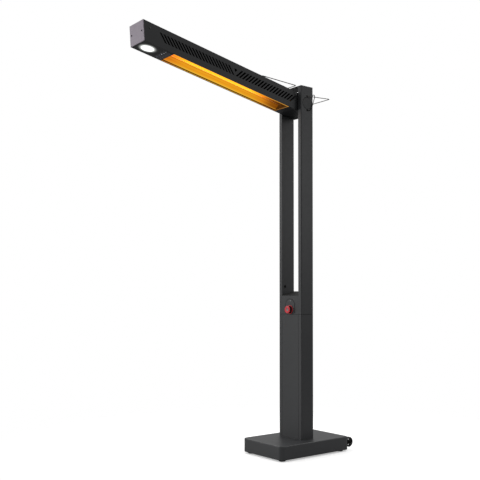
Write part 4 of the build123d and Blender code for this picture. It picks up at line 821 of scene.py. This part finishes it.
# ------------------------------------------------------------------ the hinge's sides
def side_circle(side, height, radius):
    """A circle on the tower's side: radius * (cos a, sin a) about the middle at that height."""
    circle = arc((0, height), radius, 0, 360, 49)
    return np.column_stack([np.full(49, side * column_half[0]), circle]) * MM


# painted shade in the fine gap round the disc at each end of the hinge, and in the two holes
# above and below it
cable_hole, bail_hole = hinge_height - side_hole_reach, hinge_height + side_hole_reach
for side, name in ((-1, "left"), (1, "right")):
    line = [side_circle(side, hinge_height, 33.9)]
    printed(f"disc_shade_{name}", line, 1.4, side * ACROSS, "stand", "joint_shade")
    holes = [side_circle(side, height, 3.8) for height in (cable_hole, bail_hole)]
    printed(f"hole_shade_{name}", holes, 3.2, side * ACROSS, "stand", "joint_shade")


def smooth_path(corners, steps):
    """A Catmull-Rom curve through the corners, with that many points for each span.

    Between b and c, with neighbours a and d, the point at t from 0 to 1 is
    b + t (c - a) / 2 + t^2 (a - 5b / 2 + 2c - d / 2) + t^3 (3 (b - c) + d - a) / 2.
    """
    c = np.asarray(corners, float)
    c = np.concatenate([2 * c[:1] - c[1:2], c, 2 * c[-1:] - c[-2:-1]])
    before, start, end, after = (c[k : len(c) - 3 + k, None] for k in range(4))
    t = np.linspace(0, 1, steps, endpoint=False)[None, :, None]
    square = before - 2.5 * start + 2 * end - 0.5 * after
    cube = 1.5 * (start - end) + 0.5 * (after - before)
    curve = start + t * (end - before) / 2 + t**2 * square + t**3 * cube
    return np.concatenate([curve.reshape(-1, 3), c[-2:-1]])


# the cable beside the hinge, 4 mm thick and 190 mm long: out of the lower hole in the right
# upright's side, up past its rear edge in one loop, and into its back
cable_radius = 2.0
cable_corners = [
    (92.2, 0, 1963),
    (96.5, 0.2, 1963),
    (99.2, 3.0, 1962.7),
    (99.8, 9.5, 1962.2),
    (99.8, 17, 1963.5),
    (99.8, 24, 1968),
    (99.8, 30, 1976),
    (99.8, 37, 1991),
    (99.6, 42, 2006),
    (98.4, 47.5, 2018),
    (95.2, 54, 2030),
    (92.6, 60.5, 2043),
    (90.8, 64.5, 2053.5),
    (86.3, 64.5, 2061.5),
    (79.8, 62.0, 2062),
    (75.6, 60.0, 2055),
    (74.2, 59.0, 2046),
    (75.8, 58.0, 2038),
    (79.4, 55.5, 2032.8),
    (82.7, 51.0, 2031.2),
    (83.0, 43.2, 2031),
]
never_along = np.array([0.65, -0.65, 0.39])  # the cable runs in no direction near this one
cable_line = smooth_path(cable_corners, 6) * MM
cable_skin = carried(cable_line, round_section(cable_radius, 12), never_along)
# its rubber is darkened to paint in the shadow it casts on the upright
cable = skin("cable_loop", cable_skin[None], "stand", "cable_rubber_and_shadow")
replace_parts(cable, "side_cable")


# ------------------------------------------------------------------ the louvres
def louvre_shade():
    """Unlit sheared edges round the louvres: a flat band about each slanted slot.

    Corners: station + width / 2 * (1, -1, -1, 1) + lean / 2 * (1, 1, -1, -1), and rise +
    height / 2 * (1, 1, -1, -1). The outer corners lie further out by the band's width, and
    1.4 times as far along the arm, because the slots are slanted.
    """
    width, height, middle_rise, pitch = 9.0, 39.0, 3.0, 21.625
    front_first, front_count, front_lean = 966.0, 21, 39.0
    rear_first, rear_count, rear_lean = 87.2, 19, -32.0
    band, overlap, thick = 1.1, 0.1, 0.06
    front = front_first - pitch * np.arange(front_count)
    rear = rear_first + pitch * np.arange(rear_count)
    stations = np.concatenate([front, rear])[:, None]
    lean = np.repeat([front_lean, rear_lean], [front_count, rear_count])[:, None]
    corner_wide = np.array([1, -1, -1, 1])
    corner_tall = np.array([1, 1, -1, -1])
    grids = []
    for side in (-1, 1):
        rows = []
        for extra, proud in ((-overlap, 0.0), (-overlap, thick), (band, thick), (band, 0.0)):
            wide = corner_wide * (width / 2 + 1.4 * extra)
            tall = corner_tall * (height / 2 + extra)
            station = stations + wide + lean * tall / height
            x = np.full(station.shape, side * (arm_half_width + proud))
            rows.append(on_arm(x, station, middle_rise + tall + 0 * station))
        grid = np.stack(rows, 1)
        grids.append(grid if side > 0 else grid[:, :, ::-1])
    skin("louvre_edge_shade", np.concatenate(grids), "arm", "joint_shade", wrap=(True, True))


louvre_shade()

# the same unlit edge round the three-cornered hole between the rows of louvres
mark_station, mark_rise, mark_reach = 504.5, 13.0, 9.6
mark_corners = arc((mark_station, mark_rise), mark_reach, -90, 270, 4)
for side, name in ((-1, "left"), (1, "right")):
    mark = on_arm(np.full(4, side * arm_half_width), mark_corners[:, 0], mark_corners[:, 1])
    edges = [bar(mark[i], mark[i + 1], 3) for i in range(3)]
    printed(f"mark_shade_{name}", edges, 3.0, side * ACROSS, "arm", "joint_shade")


# ------------------------------------------------------------------ the wheels
def tyre(side, name):
    """A solid tyre with square tread blocks: a closed section (radius, across) carried round.

    Radius of the crown = 29 mm, less the groove's depth where cos(22 a) is below -0.4. The
    walls and the bore keep their radius.
    """
    section = np.array(
        [(24, -8.6), (27.4, -9), (28.9, -7.4), (29, -1), (28, -0.9), (28, 0.9), (29, 1)]
        + [(28.9, 7.4), (27.4, 9), (24, 8.6)]
    )
    crown = np.isin(np.arange(len(section)), (2, 3, 6, 7))
    tread_blocks, groove_depth = 22, 1.3
    a = np.linspace(0, 2 * math.pi, 12 * tread_blocks, endpoint=False)
    groove = groove_depth * (np.cos(tread_blocks * a) < -0.4)
    r = (section[None, :, 0] - groove[:, None] * crown[None]) * MM
    x = side * MM * np.repeat(section[None, :, 1], len(a), 0)
    points = np.stack([x, r * np.cos(a)[:, None], r * np.sin(a)[:, None]], -1)
    points += joint_place[f"wheel_{name}_spin"]
    if side > 0:
        points = points[:, ::-1]
    piece = skin(f"tyre_{name}", points[None], f"wheel_{name}", "tyre_rubber", wrap=(True, True))
    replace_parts(piece, f"wheel_tyre_{name}")


tyre(-1, "left")
tyre(1, "right")


# ------------------------------------------------------------------ studio
def area_light(name, place, target, size, power):
    """A square soft box at a place, facing the target."""
    light = bpy.data.lights.new(name, "AREA")
    light.size = size
    light.energy = power
    holder = bpy.data.objects.new(name, light)
    bpy.context.scene.collection.objects.link(holder)
    holder.location = place
    aim = np.array(target, float) - np.array(place, float)
    pitch = math.atan2(math.hypot(aim[0], aim[1]), -aim[2])
    holder.rotation_euler = (pitch, 0, math.atan2(-aim[0], aim[1]))


# the key light on the front, a low one on the base, and weak ones from the side, the back
# and above
area_light("key", (-2.6, -3.4, 2.2), (0, 0, 1.3), 2.0, 38)
area_light("low", (-1.3, -2.6, 0.25), (0, -0.3, 0.05), 0.6, 9)
area_light("side", (2.6, 2.3, 1.9), (0, 0, 1.4), 1.2, 6)
area_light("rim", (0.0, 2.6, 2.9), (0, 0, 0.1), 1.2, 10)
area_light("top", (-2.6, 0.0, 2.5), (0, 0, 0.1), 1.2, 14)

# the surround: white where the camera looks, also through glass, and for every other ray a
# gradient from dim below to white overhead
world = bpy.data.worlds.new("studio")
bpy.context.scene.world = world
world.use_nodes = True
sky = world.node_tree
sky.nodes.clear()
rays = add(sky, "LightPath").node.outputs
seen = add(
    sky, "Math", {0: rays["Is Camera Ray"], 1: rays["Is Transmission Ray"]}, operation="MAXIMUM"
)
heading = add(sky, "TexCoord").node.outputs["Object"]
rise = add(sky, "SeparateXYZ", {0: heading}).node.outputs[2]
span = {"From Min": -0.3, "From Max": 0.7, "To Min": 0.18, "To Max": 1.0}
level = add(sky, "MapRange", {"Value": rise, **span})
soft = add(sky, "Background", {"Strength": level})
white = add(sky, "Background", {"Color": (1, 1, 1, 1)})
both = add(sky, "MixShader", {0: seen, 1: soft, 2: white})
add(sky, "OutputWorld", {"Surface": both})


def pale_paper():
    """Matt paper under the tower: nearly white, lifted a little for the camera alone.

    It fades into the white surround with distance, throws less light back than it shows, and
    isn't there from beneath.
    """
    material, tree, shader, place = new_material("matt_paper", Roughness=0.95)
    fibre = mottle(tree, place, 4 * MM, 3)
    shade = add(tree, "ValToRGB", {"Fac": fibre}, [(0.0, "#F7F7F7"), (1.0, "#FBFBFB")])
    reach = add(tree, "VectorMath", {0: place}, operation="LENGTH").node.outputs["Value"]
    fade = {"From Min": 0.5, "From Max": 1.9, "To Min": 1.0, "To Max": 0.0}
    there = add(tree, "MapRange", {"Value": reach, **fade}, interpolation_type="SMOOTHSTEP")
    beneath = add(tree, "NewGeometry").node.outputs["Backfacing"]
    there = add(tree, "Math", {0: there, 1: beneath}, operation="SUBTRACT", use_clamp=True)
    watched = add(tree, "LightPath").node.outputs["Is Camera Ray"]
    lift = add(tree, "Math", {0: watched, 1: 0.42}, operation="MULTIPLY")
    bounce = add(tree, "MapRange", {"Value": watched, "To Min": 0.45})
    tone = add(tree, "VectorMath", {0: shade, 1: bounce}, operation="MULTIPLY")
    finish_with(tree, shader, Base_Color=tone, Alpha=there, Emission_Strength=lift)
    shader.inputs["Emission Color"].default_value = (1, 1, 1, 1)
    return material


# a round floor, 3 m in radius
floor_mesh = bpy.data.meshes.new("floor")
floor_rim = np.column_stack([round_section(3000, 96), np.zeros(96)])
floor_mesh.from_pydata(floor_rim.tolist(), [], [list(range(96))])
floor_mesh.materials.append(pale_paper())
floor = bpy.data.objects.new("floor", floor_mesh)
bpy.context.scene.collection.objects.link(floor)

bpy.context.scene.view_settings.view_transform = "Standard"

# the camera that was fitted to the photograph's straight edges
optics = bpy.data.cameras.new("camera")
optics.sensor_width = 36
optics.lens = 56.74
optics.shift_y = 0.09
camera = bpy.data.objects.new("camera", optics)
bpy.context.scene.collection.objects.link(camera)
camera.location = (3.2577, -2.9563, 0.9)
camera.rotation_euler = (math.radians(90.969), 0, math.radians(52.014))
bpy.context.scene.camera = camera
